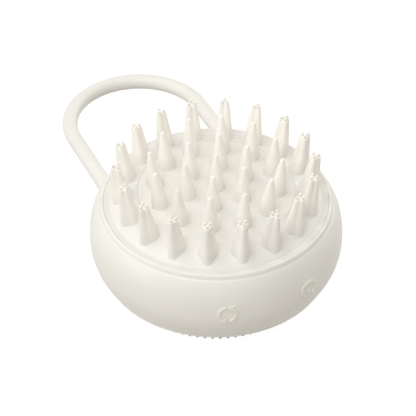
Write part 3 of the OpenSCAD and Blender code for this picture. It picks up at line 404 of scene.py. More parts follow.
def skin_finish(name, colour, deep, clouds=55.0, grains=3500.0, roughness=0.45, relief=0.000012,
                thin=None):
    """A moulded plastic finish, or a silicone one with a painted glow, lighter up its thin prongs.
    """
    made, skin, shader = group_material(
        name, skin_group, {
            "Colour": (*colour, 1), "Deep colour": (*deep, 1), "Clouds per metre": clouds,
            "Grains per metre": grains, "Roughness": roughness, "Roughness spread": SKIN_SPREAD},
        SKIN_BUMP, relief)
    shader.inputs["IOR"].default_value = PLASTIC_IOR
    # Painted glow: each colour fades to a lighter one up the prongs, for light let through thin
    # silicone
    if thin:
        tree = made.node_tree
        for socket, thick, light in zip(("Colour", "Deep colour"), (colour, deep), thin):
            fade = add(tree, "ShaderNodeGroup", node_tree=painted_glow_group)
            fade.inputs["Thick colour"].default_value = (*thick, 1)
            fade.inputs["Painted glow colour"].default_value = (*light, 1)
            tree.links.new(fade.outputs["Colour"], skin.inputs[socket])
    return made


CREAM, CREAM_DEEP = (0.885, 0.868, 0.815), (0.872, 0.853, 0.795)
finishes = {
    "soft_touch_shell": skin_finish("cream_soft_touch", CREAM, CREAM_DEEP, roughness=0.42),
    "base_plastic": skin_finish("cream_base", (0.86, 0.84, 0.78), (0.845, 0.822, 0.76),
                                roughness=0.5),
    # Silicone: its own two colours, then two lighter ones painted as glow on the thin prongs
    "silicone": skin_finish("cream_silicone", (0.845, 0.83, 0.79), (0.835, 0.818, 0.775),
                            grains=5000.0, roughness=0.4, relief=0.000008,
                            thin=((0.97, 0.943, 0.893), (0.962, 0.932, 0.876))),
    "handle_soft": skin_finish("cream_handle", (0.86, 0.845, 0.8), (0.85, 0.833, 0.785),
                               clouds=40.0, roughness=0.38),
}
print("outside finishes:", ", ".join(finishes))

# %% [markdown]
# ## Finishes of the inside
# Nobody sees the works in this view, but the exported model is taken apart piece by piece, so each
# slot gets its own finish. One table says which colours, which roughness, and which of the two
# groups.

# %% Finishes of the works
WORKS_CLOUDS, WORKS_GRAINS, SCRATCHES, METAL_RELIEF = 120.0, 6000.0, 9000.0, 0.000004


def metal_finish(name, colour, dark, roughness):
    """A turned, drawn or plated metal."""
    made, _, shader = group_material(
        name, metal_group, {
            "Colour": (*colour, 1), "Dark colour": (*dark, 1), "Scratches per metre": SCRATCHES,
            "Roughness": roughness}, METAL_BUMP, METAL_RELIEF)
    shader.inputs["Metallic"].default_value = 1.0
    return made


for slot, colour, deep, roughness in [
        ("inner_plastic", (0.62, 0.61, 0.57), (0.58, 0.57, 0.53), 0.5),
        ("gearbox_plastic", (0.035, 0.035, 0.04), (0.028, 0.028, 0.032), 0.45),
        ("gear_plastic", (0.74, 0.74, 0.7), (0.7, 0.7, 0.65), 0.35),
        ("seal_rubber", (0.02, 0.02, 0.02), (0.03, 0.03, 0.03), 0.7),
        ("board", (0.02, 0.16, 0.07), (0.015, 0.12, 0.05), 0.35),
        ("magnet", (0.05, 0.05, 0.055), (0.04, 0.04, 0.045), 0.55),
        ("lead_red", (0.5, 0.02, 0.015), (0.42, 0.015, 0.012), 0.4),
        ("lead_blue", (0.02, 0.05, 0.4), (0.015, 0.04, 0.33), 0.4)]:
    finishes[slot] = skin_finish("works_" + slot, colour, deep, WORKS_CLOUDS, WORKS_GRAINS,
                                 roughness)
for slot, colour, dark, roughness in [
        ("shaft_steel", (0.62, 0.62, 0.63), (0.5, 0.5, 0.51), 0.2),
        ("screw_steel", (0.55, 0.56, 0.58), (0.42, 0.43, 0.45), 0.28),
        ("motor_steel", (0.58, 0.58, 0.57), (0.47, 0.47, 0.46), 0.32),
        ("switch_steel", (0.6, 0.6, 0.6), (0.5, 0.5, 0.5), 0.3),
        ("bush_bronze", (0.55, 0.36, 0.17), (0.42, 0.27, 0.12), 0.42),
        ("contact_brass", (0.83, 0.64, 0.3), (0.72, 0.53, 0.23), 0.22),
        ("armature_copper", (0.72, 0.33, 0.18), (0.6, 0.25, 0.12), 0.3),
        ("cell_foil", (0.66, 0.67, 0.7), (0.56, 0.57, 0.6), 0.38)]:
    finishes[slot] = metal_finish("works_" + slot, colour, dark, roughness)
print(len(finishes), "finishes")

# %% Dress the CAD nodes
slot_of = {}
for entry in frame["record"]["materials"]:
    for named in entry.get("nodes", []):
        slot_of[named] = entry["slot"]
for named, made in frame["nodes"].items():
    made.data.materials.clear()
    made.data.materials.append(finishes[slot_of.get(named, "inner_plastic")])
print(len(slot_of), "nodes dressed by their slots")

# %% [markdown]
# ## The shell
# The shell is one turned part: the parting edge at the bottom, the full side, a soft valley, and a
# rounded rim that stands up round the soft pad. Its two buttons show no outline in the photo,
# because the skin runs over them unbroken. So the skin over each button is cut out of the same mesh
# as a patch of its own, with the same border points.

# %% Outline of the shell
SHELL_COUNT = 288
EDGE_START, EDGE_TOP, EDGE_BEAD = SPLIT_Z + 0.35, SPLIT_Z + 1.05, 0.4
SIDE_FROM, SHOULDER_TOP_Z = EDGE_TOP + 0.2, 33.2
# Corners of the lower edge: height over the parting line, height at which the body's radius is
# taken, and how far the corner stands out of it
EDGE_CORNERS = [(0.0, 0.0, -0.2), (0.02, 0.0, 0.2), (0.15, 0.15, 0.32)]


def edge_swell(z):
    """How far the thickened lower edge of the shell stands out at a height."""
    share = (z - EDGE_START) / (EDGE_TOP - EDGE_START)
    return EDGE_BEAD * math.cos(math.pi / 2 * share) ** 2 if share < 1 else 0.0


parting_edge = [(body_radius(SPLIT_Z + taken) + out, SPLIT_Z + rise)
                for rise, taken, out in EDGE_CORNERS]
side_heights = list(np.linspace(EDGE_START, EDGE_TOP, 6))
side_heights += [z for z in np.linspace(EDGE_START, LEDGE_Z - LEDGE_T, 46) if z > SIDE_FROM]
outer_side = [(r + edge_swell(z), z) for r, z in side_points(side_heights)]
inner_side = side_points(side_heights, WALL)
shoulder = side_points(np.linspace(LEDGE_Z - LEDGE_T, SHOULDER_TOP_Z, 13))[1:]
# The valley and the rim are drawn point by point: (radius, height)
valley = [(41.55, 33.375), (41.41, 33.475), (41.29, 33.575), (41.20, 33.70), (41.13, 33.90)]
rim = [(41.06, 34.18), (40.98, 34.48), (40.88, 34.76), (40.73, 35.01), (40.55, 35.18),
       (40.36, 35.275), (40.18, 35.3), (40.0, 35.265), (39.86, 35.21), (39.76, 35.13),
       (39.70, 35.0), (39.68, 34.6)]
seat = [(BAND_OUT_R, LEDGE_Z), (LEDGE_R, LEDGE_Z), (LEDGE_R, LEDGE_Z - LEDGE_T)]
shell_outline = parting_edge + outer_side + shoulder + valley + rim + seat + inner_side[::-1]
shell_outline.append((body_radius(SPLIT_Z, WALL), SPLIT_Z))
shell_points, shell_faces = turned(shell_outline, SHELL_COUNT, closed=True)
print("shell outline:", len(shell_outline), "points")

# %% [markdown]
# ## The skin over the buttons
# A button pushes along its own radius. How far a point of the body lies out along that radius tells
# how near it is to the button's middle, so one number picks the patch.

# %% Cut the two patches out of the shell
BUTTON_ANGLE, BUTTON_Z = 20.0, 21.2
SKIN_T = 1.2
# Distances out along a button's axis: where its patch begins, where the patch begins to follow the
# key, and where it follows the key in full
PATCH_REACH, PRESS_START, PRESS_FULL = 44.34, 44.40, 44.68


def button_axis(side):
    """Unit vector out along a button's radius: side 1 is power, side -1 is mode."""
    a = math.radians(-90 + side * BUTTON_ANGLE)
    return Vector((math.cos(a), math.sin(a), 0))


# Rows of the outline that make up the outer side, and the row of the inner wall behind the first
first_outer = len(parting_edge)
outer_rows = range(first_outer, first_outer + len(outer_side))
inner_first = len(shell_outline) - 2
points_of = np.array(shell_points)


def twin(index):
    """The inner wall's point behind a point of the outer side."""
    row, column = divmod(index, SHELL_COUNT)
    return (inner_first - (row - first_outer)) * SHELL_COUNT + column


def border_of(faces):
    """Directed edges that only one of the faces has."""
    edges = {(f[i], f[(i + 1) % len(f)]) for f in faces for i in range(len(f))}
    return [(a, b) for a, b in edges if (b, a) not in edges]


patches = {}
cut_away = set()
hole_walls = []
for side in (1, -1):
    out = points_of @ np.array(button_axis(side))
    chosen = [f for f in shell_faces
              if all(v // SHELL_COUNT in outer_rows and out[v] > PATCH_REACH for v in f)]
    patches[side] = chosen
    cut_away.update(tuple(f) for f in chosen)
    cut_away.update(tuple(sorted(twin(v) for v in f)) for f in chosen)
    hole_walls += [(a, b, twin(b), twin(a)) for a, b in border_of(chosen)]
kept = [f for f in shell_faces if tuple(f) not in cut_away and tuple(sorted(f)) not in cut_away]
print("patch faces:", [len(p) for p in patches.values()], "shell faces left:", len(kept))

# %% Build the shell and its patches
SLOPE_STEP, FACING_OUT = 0.01, 0.98


def body_normal(point):
    """The way the body's side faces at a point."""
    r, z = math.hypot(point[0], point[1]), point[2]
    fall = (body_radius(z + SLOPE_STEP) - body_radius(z - SLOPE_STEP)) / (2 * SLOPE_STEP)
    return Vector((point[0] / r, point[1] / r, -fall)).normalized()


def true_normals(made, points, rim_set):
    """Gives the border points of the side the body's own normal, so that no join shows."""
    mesh = made.data
    normals = [Vector(n.vector) for n in mesh.corner_normals]
    for face in mesh.polygons:
        middle = face.center / MM
        if face.normal.dot(body_normal(middle)) > FACING_OUT:
            for loop in face.loop_indices:
                vertex = mesh.loops[loop].vertex_index
                if vertex in rim_set:
                    normals[loop] = body_normal(points[vertex])
    mesh.normals_split_custom_set(normals)


def compact(points, faces):
    """Only the points that the faces use, and where each went."""
    used = sorted({v for f in faces for v in f})
    new = {v: i for i, v in enumerate(used)}
    return [tuple(points[v]) for v in used], [[new[v] for v in f] for f in faces], new


points, faces, new = compact(shell_points, kept + hole_walls)
shell = smooth(mesh_object("shell_skin", points, faces))
true_normals(shell, points, {new[a] for p in patches.values() for a, b in border_of(p)})
finished(shell, "soft_touch_shell", "housing", "upper_shell")

BUTTONS = {1: ("power", "power_key", "power_button"), -1: ("mode", "mode_key", "mode_button")}
for side, (word, key, node) in BUTTONS.items():
    points, faces, new = compact(shell_points, patches[side])
    count = len(points)
    axis = button_axis(side)
    edges = border_of(faces)
    points += [tuple(Vector(p) + axis * -SKIN_T) for p in points]
    faces += [[v + count for v in reversed(f)] for f in faces]
    faces += [(b, a, a + count, b + count) for a, b in edges]
    skin = smooth(mesh_object(word + "_button_skin", points, faces))
    true_normals(skin, points, {a for a, b in edges})
    finished(skin, "soft_touch_shell", None, node)
    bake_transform(skin)

# %% [markdown]
# ## The raised signs
# A power sign and a rotate sign stand 0.45 mm proud of the skin. Each stroke is drawn flat as one
# outline, given thickness, its top edge rounded, and only then laid on the curved body: every point
# moves out along the button's axis until it meets the surface. Drawing on the body directly would
# make round strokes hard to keep round.

# %% Raised signs
SIGN_R, SIGN_W, SIGN_H, SIGN_ROOT, SIGN_ROUND = 3.2, 0.95, 0.45, 0.35, 0.15
# Where strokes start and end, in degrees round the sign's middle, and the bar's two ends
POWER_FROM, POWER_TO, BAR_LOW, BAR_HIGH = -55, 235, -SIGN_R - 0.5, -0.8
ARROW_FROM, ARROW_TO, HEAD_FROM, HEAD_TO = -72, 57, 56, 84
ARROW_R, HEAD_HALF, HEAD_END = SIGN_R - 0.2, 1.2, 0.6


def polar(r, degrees):
    """A flat point at a radius and an angle."""
    return Vector((r * math.cos(math.radians(degrees)), r * math.sin(math.radians(degrees))))


def arc_outline(r, a0, a1, steps):
    """Outer and inner edge of a curved stroke."""
    angles = np.linspace(a0, a1, steps + 1)
    return ([polar(r + SIGN_W / 2, a) for a in angles],
            [polar(r - SIGN_W / 2, a) for a in angles[::-1]])


def round_end(centre, start):
    """A half circle that closes a stroke, swung from a start angle."""
    return [centre + polar(SIGN_W / 2, start + t) for t in range(20, 180, 20)]


power_outer, power_inner = arc_outline(SIGN_R, POWER_FROM, POWER_TO, 40)
power_arc = (power_outer + round_end(polar(SIGN_R, POWER_TO), POWER_TO) + power_inner
             + round_end(polar(SIGN_R, POWER_FROM), POWER_FROM + 180))
power_bar = ([Vector((0, BAR_LOW)) + polar(SIGN_W / 2, t) for t in range(180, 361, 20)]
             + [Vector((0, BAR_HIGH)) + polar(SIGN_W / 2, t) for t in range(0, 181, 20)])
arrow_outer, arrow_inner = arc_outline(ARROW_R, ARROW_FROM, ARROW_TO, 24)
arrow_head = [polar(ARROW_R + half, a) for half, a in
              ((HEAD_HALF, HEAD_FROM), (HEAD_END, HEAD_TO),
               (-HEAD_END, HEAD_TO), (-HEAD_HALF, HEAD_FROM))]
arrow = (arrow_outer + arrow_head + arrow_inner
         + round_end(polar(ARROW_R, ARROW_FROM), ARROW_FROM + 180))
half_turned = [Vector((-p.x, -p.y)) for p in arrow]


def on_body(side, x, y, height):
    """A point of a sign's flat drawing, laid on the body's side."""
    axis = button_axis(side)
    across = Vector((-axis.y, axis.x, 0))
    z = BUTTON_Z + y
    out = math.sqrt(body_radius(z) ** 2 - x * x)
    point = axis * out + across * x + Vector((0, 0, z))
    return point + body_normal(point) * height


def raised_stroke(side, outline):
    """One stroke, rounded on top and laid on the body."""
    bm = bmesh.new()
    face = bm.faces.new([bm.verts.new((p.x, p.y, 0)) for p in outline])
    face.normal_update()
    if face.normal.z < 0:
        face.normal_flip()
    lifted = bmesh.ops.extrude_face_region(bm, geom=[face])
    tops = {g for g in lifted["geom"] if isinstance(g, bmesh.types.BMVert)}
    for vert in tops:
        vert.co.z = SIGN_H + SIGN_ROOT
    top_edges = [e for e in bm.edges if all(v in tops for v in e.verts)]
    bmesh.ops.bevel(bm, geom=top_edges, offset=SIGN_ROUND, segments=3, profile=0.5,
                    affect="EDGES")
    bmesh.ops.recalc_face_normals(bm, faces=bm.faces[:])
    for vert in bm.verts:
        vert.co = on_body(side, vert.co.x, vert.co.y, vert.co.z - SIGN_ROOT) * MM
    return object_of(bm, "stroke")


for side, strokes in ((1, (power_arc, power_bar)), (-1, (arrow, half_turned))):
    word, key, node = BUTTONS[side]
    sign = joined(word + "_sign", *[raised_stroke(side, s) for s in strokes])
    finished(smooth(sign, sharp_over=50), "soft_touch_shell", key, node)

# %% [markdown]
# ## Geometry Nodes for what repeats
# Bristles, cones and nubs each repeat round the Z axis. One small tree does them all: it takes a
# single part standing on the +X axis, and sets a given number of copies of it round the axis. The
# rule is plain to read in the tree, and the numbers stay inputs.

# %% The ring of copies tree
def geometry_tree(name, output, *inputs):
    """An empty Geometry Nodes tree with named sockets, and its two ends."""
    tree = bpy.data.node_groups.new(name, "GeometryNodeTree")
    for label, kind in inputs:
        tree.interface.new_socket(label, in_out="INPUT", socket_type="NodeSocket" + kind)
    tree.interface.new_socket(output, in_out="OUTPUT", socket_type="NodeSocketGeometry")
    return tree, tree.nodes.new("NodeGroupInput"), tree.nodes.new("NodeGroupOutput")


def coat_and_end(tree, geometry, group_in, group_out):
    """Turns what was grown into real faces, coats it and sends it out of the tree."""
    real = add(tree, "GeometryNodeRealizeInstances", None, {"Geometry": geometry})
    coated = add(tree, "GeometryNodeSetMaterial", None,
                 {"Geometry": real.outputs[0], "Material": group_in.outputs["Finish"]})
    tree.links.new(coated.outputs[0], group_out.inputs[0])


ring_tree, ring_in, ring_out = geometry_tree(
    "copies_round_axis", "Ring", ("Part", "Geometry"), ("Copies", "Int"), ("First angle", "Float"),
    ("Finish", "Material"))
spots = add(ring_tree, "GeometryNodePoints", None, {"Count": ring_in.outputs["Copies"]})
share = add(ring_tree, "ShaderNodeMath", None,
            {0: add(ring_tree, "GeometryNodeInputIndex").outputs[0], 1: ring_in.outputs["Copies"]},
            operation="DIVIDE")
swing = add(ring_tree, "ShaderNodeMath", {1: 2 * math.pi},
            {0: share.outputs[0], 2: ring_in.outputs["First angle"]}, operation="MULTIPLY_ADD")
turned_by = add(ring_tree, "ShaderNodeCombineXYZ", None, {"Z": swing.outputs[0]})
copies = add(ring_tree, "GeometryNodeInstanceOnPoints", None,
             {"Points": spots.outputs[0], "Instance": ring_in.outputs["Part"],
              "Rotation": turned_by.outputs[0]})
coat_and_end(ring_tree, copies.outputs[0], ring_in, ring_out)


def grown(start, tree, **inputs):
    """Runs a Geometry Nodes tree on an object, and gives back the result as a plain mesh."""
    modifier = start.modifiers.new("grow", "NODES")
    modifier.node_group = tree
    for item in tree.interface.items_tree:
        if item.name in inputs and item.in_out == "INPUT":
            modifier[item.identifier] = inputs[item.name]
    ready = start.evaluated_get(bpy.context.evaluated_depsgraph_get())
    mesh = bpy.data.meshes.new_from_object(ready)
    start.modifiers.remove(modifier)
    old, start.data = start.data, mesh
    bpy.data.meshes.remove(old)
    return start


print("tree", ring_tree.name, "has", len(ring_tree.nodes), "nodes")

# %% [markdown]
# ## One bristle
# Seen from above a bristle is a triangle with three round lobes and slightly hollow sides. It
# narrows towards the tip, and leans so that its outer lobe stands nearly upright. The tip is
# slightly dished inside a thin rim, and from each lobe a little ball stands up on a short stem. A
# loft makes the body: the same closed curve at many heights, joined by faces. Three circles and the
# flat sides across them give that curve by one short rule, which is then averaged a little, so that
# the hollows are soft and not cut.

# %% Loft the bristle
BRISTLES = 18
BASE_R, TIP_R, TIP_Z = 32.45, 34.56, 51.5
FOOT_LOBE_R, FOOT_LOBE_OUT, TIP_LOBE_R, TIP_LOBE_OUT = 2.1, 1.7, 0.88, 1.08
FOOT_HOLLOW, TIP_HOLLOW, FOOT_SINK = 0.25, 0.45, 0.9
BEAD_R, BEAD_STEM_R, BEAD_RISE, TIP_ROUND, DISH = 0.54, 0.46, 1.5, 0.16, 0.18
LOOP, LOFT_STEPS = 48, 14
# The tip's rounded rim and its dish: how far in from the edge, and how far below the top
TIP_LOOPS = [(0.02, 0.1), (0.06, 0.04), (0.12, 0.0), (0.22, 0.0), (0.30, 0.06), (0.36, DISH)]


def trefoil(lobe_r, lobe_out, hollow, centre_x, z, share=1.0):
    """A closed curve round three lobes, the first one outwards, with nearly flat sides between."""
    third = 2 * math.pi / 3
    angles = np.linspace(0, 2 * math.pi, LOOP, endpoint=False)
    off = np.abs(angles - third * np.round(angles / third))
    reach = np.maximum(0, lobe_r ** 2 - (lobe_out * np.sin(off)) ** 2)
    bare = lobe_out * np.cos(off) + np.sqrt(reach)
    flat = (lobe_out / 2 + lobe_r) / np.cos(third / 2 - off)
    on_lobe = off < math.atan2(lobe_r * math.sin(third / 2), lobe_out + lobe_r / 2)
    radii = np.where(on_lobe, bare, hollow * bare + (1 - hollow) * flat)
    radii = (np.roll(radii, 1) + 2 * radii + np.roll(radii, -1)) / 4 * share
    return [Vector((centre_x + r * math.cos(a), r * math.sin(a), z))
            for r, a in zip(radii, angles)]


def lofted(loops, peak):
    """Points and faces of stacked closed loops, with the last one drawn to a peak."""
    n = len(loops[0])
    points = [tuple(p) for loop in loops for p in loop] + [tuple(peak)]
    faces = [(j * n + i, j * n + (i + 1) % n, (j + 1) * n + (i + 1) % n, (j + 1) * n + i)
             for j in range(len(loops) - 1) for i in range(n)]
    faces.append(list(range(n))[::-1])
    top = (len(loops) - 1) * n
    faces += [(top + i, top + (i + 1) % n, len(points) - 1) for i in range(n)]
    return points, faces


foot = trefoil(FOOT_LOBE_R, FOOT_LOBE_OUT, FOOT_HOLLOW, BASE_R, 0)
for p in foot:
    p.z = slope_z(math.hypot(p.x, p.y)) - FOOT_SINK
neck = trefoil(TIP_LOBE_R, TIP_LOBE_OUT, TIP_HOLLOW, TIP_R, TIP_Z - TIP_ROUND)
loops = [[a.lerp(b, k / LOFT_STEPS) for a, b in zip(foot, neck)] for k in range(LOFT_STEPS + 1)]
for inset, drop in TIP_LOOPS:
    loops.append(trefoil(TIP_LOBE_R, TIP_LOBE_OUT, TIP_HOLLOW, TIP_R, TIP_Z - drop,
                         1 - inset / (TIP_LOBE_R + TIP_LOBE_OUT)))
bristle = mesh_object("bristle", *lofted(loops, (TIP_R, 0, TIP_Z - DISH)))
print("one bristle:", len(bristle.data.polygons), "faces")

# %% The three beads on the tip
STEM_SINK = 0.2


def bead(centre, stem_foot_z):
    """A ball on a stem, turned from one outline."""
    neck_angle = math.acos(BEAD_STEM_R / BEAD_R)
    ball = [(BEAD_R * math.cos(a), centre[2] + BEAD_R * math.sin(a))
            for a in np.linspace(-neck_angle, math.pi / 2, 9)[:-1]]
    stem = [(0, stem_foot_z), (BEAD_STEM_R, stem_foot_z)]
    points, faces = turned(stem + ball + [(0, centre[2] + BEAD_R)], count=16)
    return [(x + centre[0], y + centre[1], z) for x, y, z in points], faces


tip_parts = [bristle]
for k in range(3):
    spot = polar(TIP_LOBE_OUT, 120 * k)
    centre = (TIP_R + spot.x, spot.y, TIP_Z + BEAD_RISE - BEAD_R)
    tip_parts.append(mesh_object("bead", *bead(centre, TIP_Z - DISH - STEM_SINK)))
bristle = joined("bristle", *tip_parts)
bristle_ring = grown(bristle, ring_tree, Copies=BRISTLES, Finish=finishes["silicone"])
print("bristle ring:", len(bristle_ring.data.polygons), "faces")

# %% [markdown]
# ## The soft ring and the turning pad
# The ring that carries the bristles has a flat band outside, and slopes up to a low lip at a fine
# circular seam. Inside the seam the turning pad is a very shallow dome. Both are turned from
# outlines with small roundings, which catch the light on either side of the seam.

# %% The bristle pad
PAD_IN_R, PAD_LOW_Z, PAD_STEP_Z = 28.6, 36.2, 37.17
PAD_FOOT_R, PAD_FOOT_Z = 39.5, 33.0
BAND_EDGE_H, BAND_STEP_W, BAND_STEP_H, BAND_DIP = 0.28, 0.1, 0.24, 0.04
LIP_FOOT, LIP_W, LIP_H = 0.5, 0.38, 0.12
SOFT_SHARP = 42
# Corners of the pad: (radius, height, rounding)
pad_under = [(PAD_IN_R, PAD_LOW_Z, 0), (PAD_IN_R, PAD_STEP_Z, 0), (BAND_IN_R, PAD_FOOT_Z, 0),
             (PAD_FOOT_R, PAD_FOOT_Z, 0)]
pad_band = [(BAND_OUT_R, BAND_Z + BAND_EDGE_H, 0.06),
            (BAND_IN_R + BAND_STEP_W, BAND_Z - BAND_DIP, 0.08),
            (BAND_IN_R, BAND_Z + BAND_STEP_H, 0.12)]
pad_lip = [(SEAM_R + LIP_FOOT, slope_z(SEAM_R + LIP_FOOT), 0.15),
           (SEAM_R + LIP_W, slope_z(SEAM_R + LIP_W) + LIP_H, 0.1),
           (SEAM_R, slope_z(SEAM_R) + LIP_H, 0.12), (SEAM_R, PAD_LOW_Z, 0)]
pad_outline = filleted(pad_under + pad_band + pad_lip)
pad = mesh_object("bristle_pad_base", *turned(pad_outline, count=256, closed=True))
bristle_pad = smooth(joined("bristle_pad_soft", pad, bristle_ring), SOFT_SHARP)
finished(bristle_pad, "silicone", "housing", "bristle_pad")

# %% [markdown]
# ## The cones
# Each cone has slightly full sides and a round tip. The outer rings lean outwards a little. The
# cone is spun upright and then sheared, so that its foot stays level, and the rings of 6 and of 12
# come from the same tree as the bristles.

# %% One cone, and the rings of cones
CONE_FOOT_Z, CONE_R, CONE_TIP_R, CONE_TIP_Z = PAD_UNDER_Z + 1, 3.11, 0.85, 54.9
CONE_FULLNESS, TIP_FOLLOWS_DOME = 1.5, 0.6
ROUND_FROM = math.radians(12)
DOME_FROM_EDGE, PAD_ROUND = 1.2, 0.1
# Name, number of cones, radius of their circle, and how far their tips lean out
CONE_RINGS = [("cone_inner", 6, 10.9, 0.97), ("cone_outer", 12, 21.3, 1.73)]


def cone_outline(length):
    """Radius and height of a cone's slightly full side and of its round tip."""
    side_length = length - CONE_TIP_R * (1 - math.sin(ROUND_FROM))
    narrowing = CONE_R - CONE_TIP_R * math.cos(ROUND_FROM)
    side = [(CONE_R - narrowing * t ** CONE_FULLNESS, t * side_length)
            for t in np.linspace(0.001, 1, 15)]
    tip = [(CONE_TIP_R * math.cos(a), length - CONE_TIP_R + CONE_TIP_R * math.sin(a))
           for a in np.linspace(ROUND_FROM, math.pi / 2, 8)[1:-1]]
    return [(0, 0), (CONE_R, 0)] + side + tip + [(0, length)]


def standing_cone(name, base_r, lean):
    """A cone on the +X axis whose tip leans outwards."""
    length = CONE_TIP_Z - (DOME_Z - dome_z(base_r)) * TIP_FOLLOWS_DOME - CONE_FOOT_Z
    points, faces = turned(cone_outline(length), count=36)
    sheared = [(x + base_r + lean * z / length, y, z + CONE_FOOT_Z) for x, y, z in points]
    return mesh_object(name, sheared, faces)


middle_cone = standing_cone("cone_middle", 0, 0)
cone_rings = [grown(standing_cone(name, base_r, lean), ring_tree, Copies=cones,
                    Finish=finishes["silicone"]) for name, cones, base_r, lean in CONE_RINGS]
disc_edge = [(0, PAD_UNDER_Z, 0), (HEAD_R, PAD_UNDER_Z, 0), (HEAD_R, dome_z(HEAD_R), PAD_ROUND)]
dome = [(r, dome_z(r), 0) for r in np.linspace(HEAD_R - DOME_FROM_EDGE, 0.0, 16)]
disc = mesh_object("cone_disc", *turned(filleted(disc_edge + dome), count=224))
cone_pad = smooth(joined("cone_pad_soft", disc, middle_cone, *cone_rings), SOFT_SHARP)
finished(cone_pad, "silicone", "turning_head", "cone_pad")

# %% [markdown]
# ## The handle
# The handle is a round rod bent to a U, with both legs pushed straight into the body. In Geometry
# Nodes a path becomes a curve and a circle is swept along it, which keeps the section round in the
# bend, where a bent cylinder would flatten.

# %% The rod tree and the handle
rod_tree, rod_in, rod_out = geometry_tree(
    "rod_along_path", "Rod", ("Path", "Geometry"), ("Rod radius", "Float"), ("Sides", "Int"),
    ("Finish", "Material"))
line = add(rod_tree, "GeometryNodeMeshToCurve", None, {"Mesh": rod_in.outputs["Path"]})
section = add(rod_tree, "GeometryNodeCurvePrimitiveCircle", None,
              {"Radius": rod_in.outputs["Rod radius"], "Resolution": rod_in.outputs["Sides"]})
swept = add(rod_tree, "GeometryNodeCurveToMesh", {"Fill Caps": True},
            {"Curve": line.outputs[0], "Profile Curve": section.outputs[0]})
coat_and_end(rod_tree, swept.outputs[0], rod_in, rod_out)

HANDLE_X, HANDLE_Y, HANDLE_Z, HANDLE_R, LEG_END_Y = 26.0, 71.0, 20.25, 2.85, 27.8
leg = [(HANDLE_X, y, HANDLE_Z) for y in np.linspace(LEG_END_Y, HANDLE_Y, 10)[:-1]]
bend = [(HANDLE_X * math.cos(a), HANDLE_Y + HANDLE_X * math.sin(a), HANDLE_Z)
        for a in np.linspace(0, math.pi, 73)]
path = leg + bend + [(-x, y, z) for x, y, z in reversed(leg)]
handle = mesh_object("handle_rod", path, [], [(i, i + 1) for i in range(len(path) - 1)])
handle = grown(handle, rod_tree, **{"Rod radius": HANDLE_R * MM, "Sides": 40,
                                    "Finish": finishes["handle_soft"]})
finished(smooth(handle, sharp_over=60), "handle_soft", "housing", "handle_loop")

# %% [markdown]
# ## The base, its nubs and the foot
# Below the parting line the base carries on the body's curve. Its top edge is drawn in by a hair,
# so the shell's thickened edge above it catches the light and a fine dark line lies below. Round
# the bottom a soft ring holds 80 small nubs, which give the palm some grip. The nubs come from the
# ring tree again.

# %% The base
GROOVE_IN, GROOVE_OUT, GROOVE_Z, CLEAR = 32.2, 35.6, 3.0, 0.02
# The line under the shell's edge: its depth, and where it begins and is full below the parting line
LINE_DEPTH, LINE_FROM, LINE_FULL = 0.25, 0.6, 0.4
FOOT_R, FOOT_RECESS = 11.0, 0.6
INSIDE_R, INSIDE_FLOOR_Z, INSIDE_STEP_Z = GROOVE_IN - 1, 2.5, 4.6
lower_z = [z for z in np.linspace(UNDER_Z, SPLIT_Z - 0.75, 20)
           if body_radius(z) > GROOVE_OUT + CLEAR]
recess = [(0, UNDER_Z + FOOT_RECESS), (FOOT_R + CLEAR, UNDER_Z + FOOT_RECESS),
          (FOOT_R + CLEAR, UNDER_Z)]
groove = [(GROOVE_IN, UNDER_Z), (GROOVE_IN, GROOVE_Z), (GROOVE_OUT + CLEAR, GROOVE_Z)]
edge_line = [(body_radius(SPLIT_Z - LINE_FROM), SPLIT_Z - LINE_FROM),
             (body_radius(SPLIT_Z - LINE_FULL) - LINE_DEPTH, SPLIT_Z - LINE_FULL),
             (body_radius(SPLIT_Z) - LINE_DEPTH, SPLIT_Z - CLEAR)]
inside = [(body_radius(SPLIT_Z) - WALL, SPLIT_Z - CLEAR), (INSIDE_R, INSIDE_STEP_Z),
          (INSIDE_R, INSIDE_FLOOR_Z), (0, INSIDE_FLOOR_Z)]
base_outline = recess + groove + side_points(lower_z) + edge_line + inside
base = mesh_object("base_skin", *turned(base_outline, count=256))
finished(smooth(base), "base_plastic", "housing", "base_shell")

# %% The ring of nubs
NUBS, NUB_RING_R, NUB_R, NUB_TOP_Z = 80, 34.3, 0.55, 2.0
RING_LEAD, RING_SHOULDER_Z = 0.1, 1.9
nub_tip = [(NUB_R * math.cos(math.radians(a)), NUB_R - NUB_R * math.sin(math.radians(a)))
           for a in (72, 50, 25)]
points, faces = turned([(0, 0)] + nub_tip + [(NUB_R, NUB_R), (NUB_R, NUB_TOP_Z)], count=10)
nub = mesh_object("nub", [(x + NUB_RING_R, y, z) for x, y, z in points], faces)
nubs = grown(nub, ring_tree, Copies=NUBS, Finish=finishes["silicone"])
ring_side = [(r, z) for r, z in side_points(np.linspace(UNDER_Z, 3.2, 14))
             if r < GROOVE_OUT - CLEAR]
ring_start = [(GROOVE_IN + CLEAR, UNDER_Z + RING_LEAD), (GROOVE_IN + CLEAR + RING_LEAD, UNDER_Z)]
ring_top = [(GROOVE_OUT, RING_SHOULDER_Z), (GROOVE_OUT, GROOVE_Z - CLEAR),
            (GROOVE_IN + CLEAR, GROOVE_Z - CLEAR)]
nub_base = mesh_object("nub_base", *turned(ring_start + ring_side + ring_top, count=256,
                                           closed=True))
nub_ring = smooth(joined("nub_ring_soft", nub_base, nubs), sharp_over=50)
finished(nub_ring, "silicone", "housing", "nub_ring")

# %% The foot
foot_outline = filleted([(0, 0, 0), (FOOT_R, 0, 0.3), (FOOT_R, UNDER_Z + FOOT_RECESS, 0),
                         (0, UNDER_Z + FOOT_RECESS, 0)])
foot_pad = smooth(mesh_object("foot_soft", *turned(foot_outline, count=96)))
finished(foot_pad, "silicone", "housing", "foot_pad")

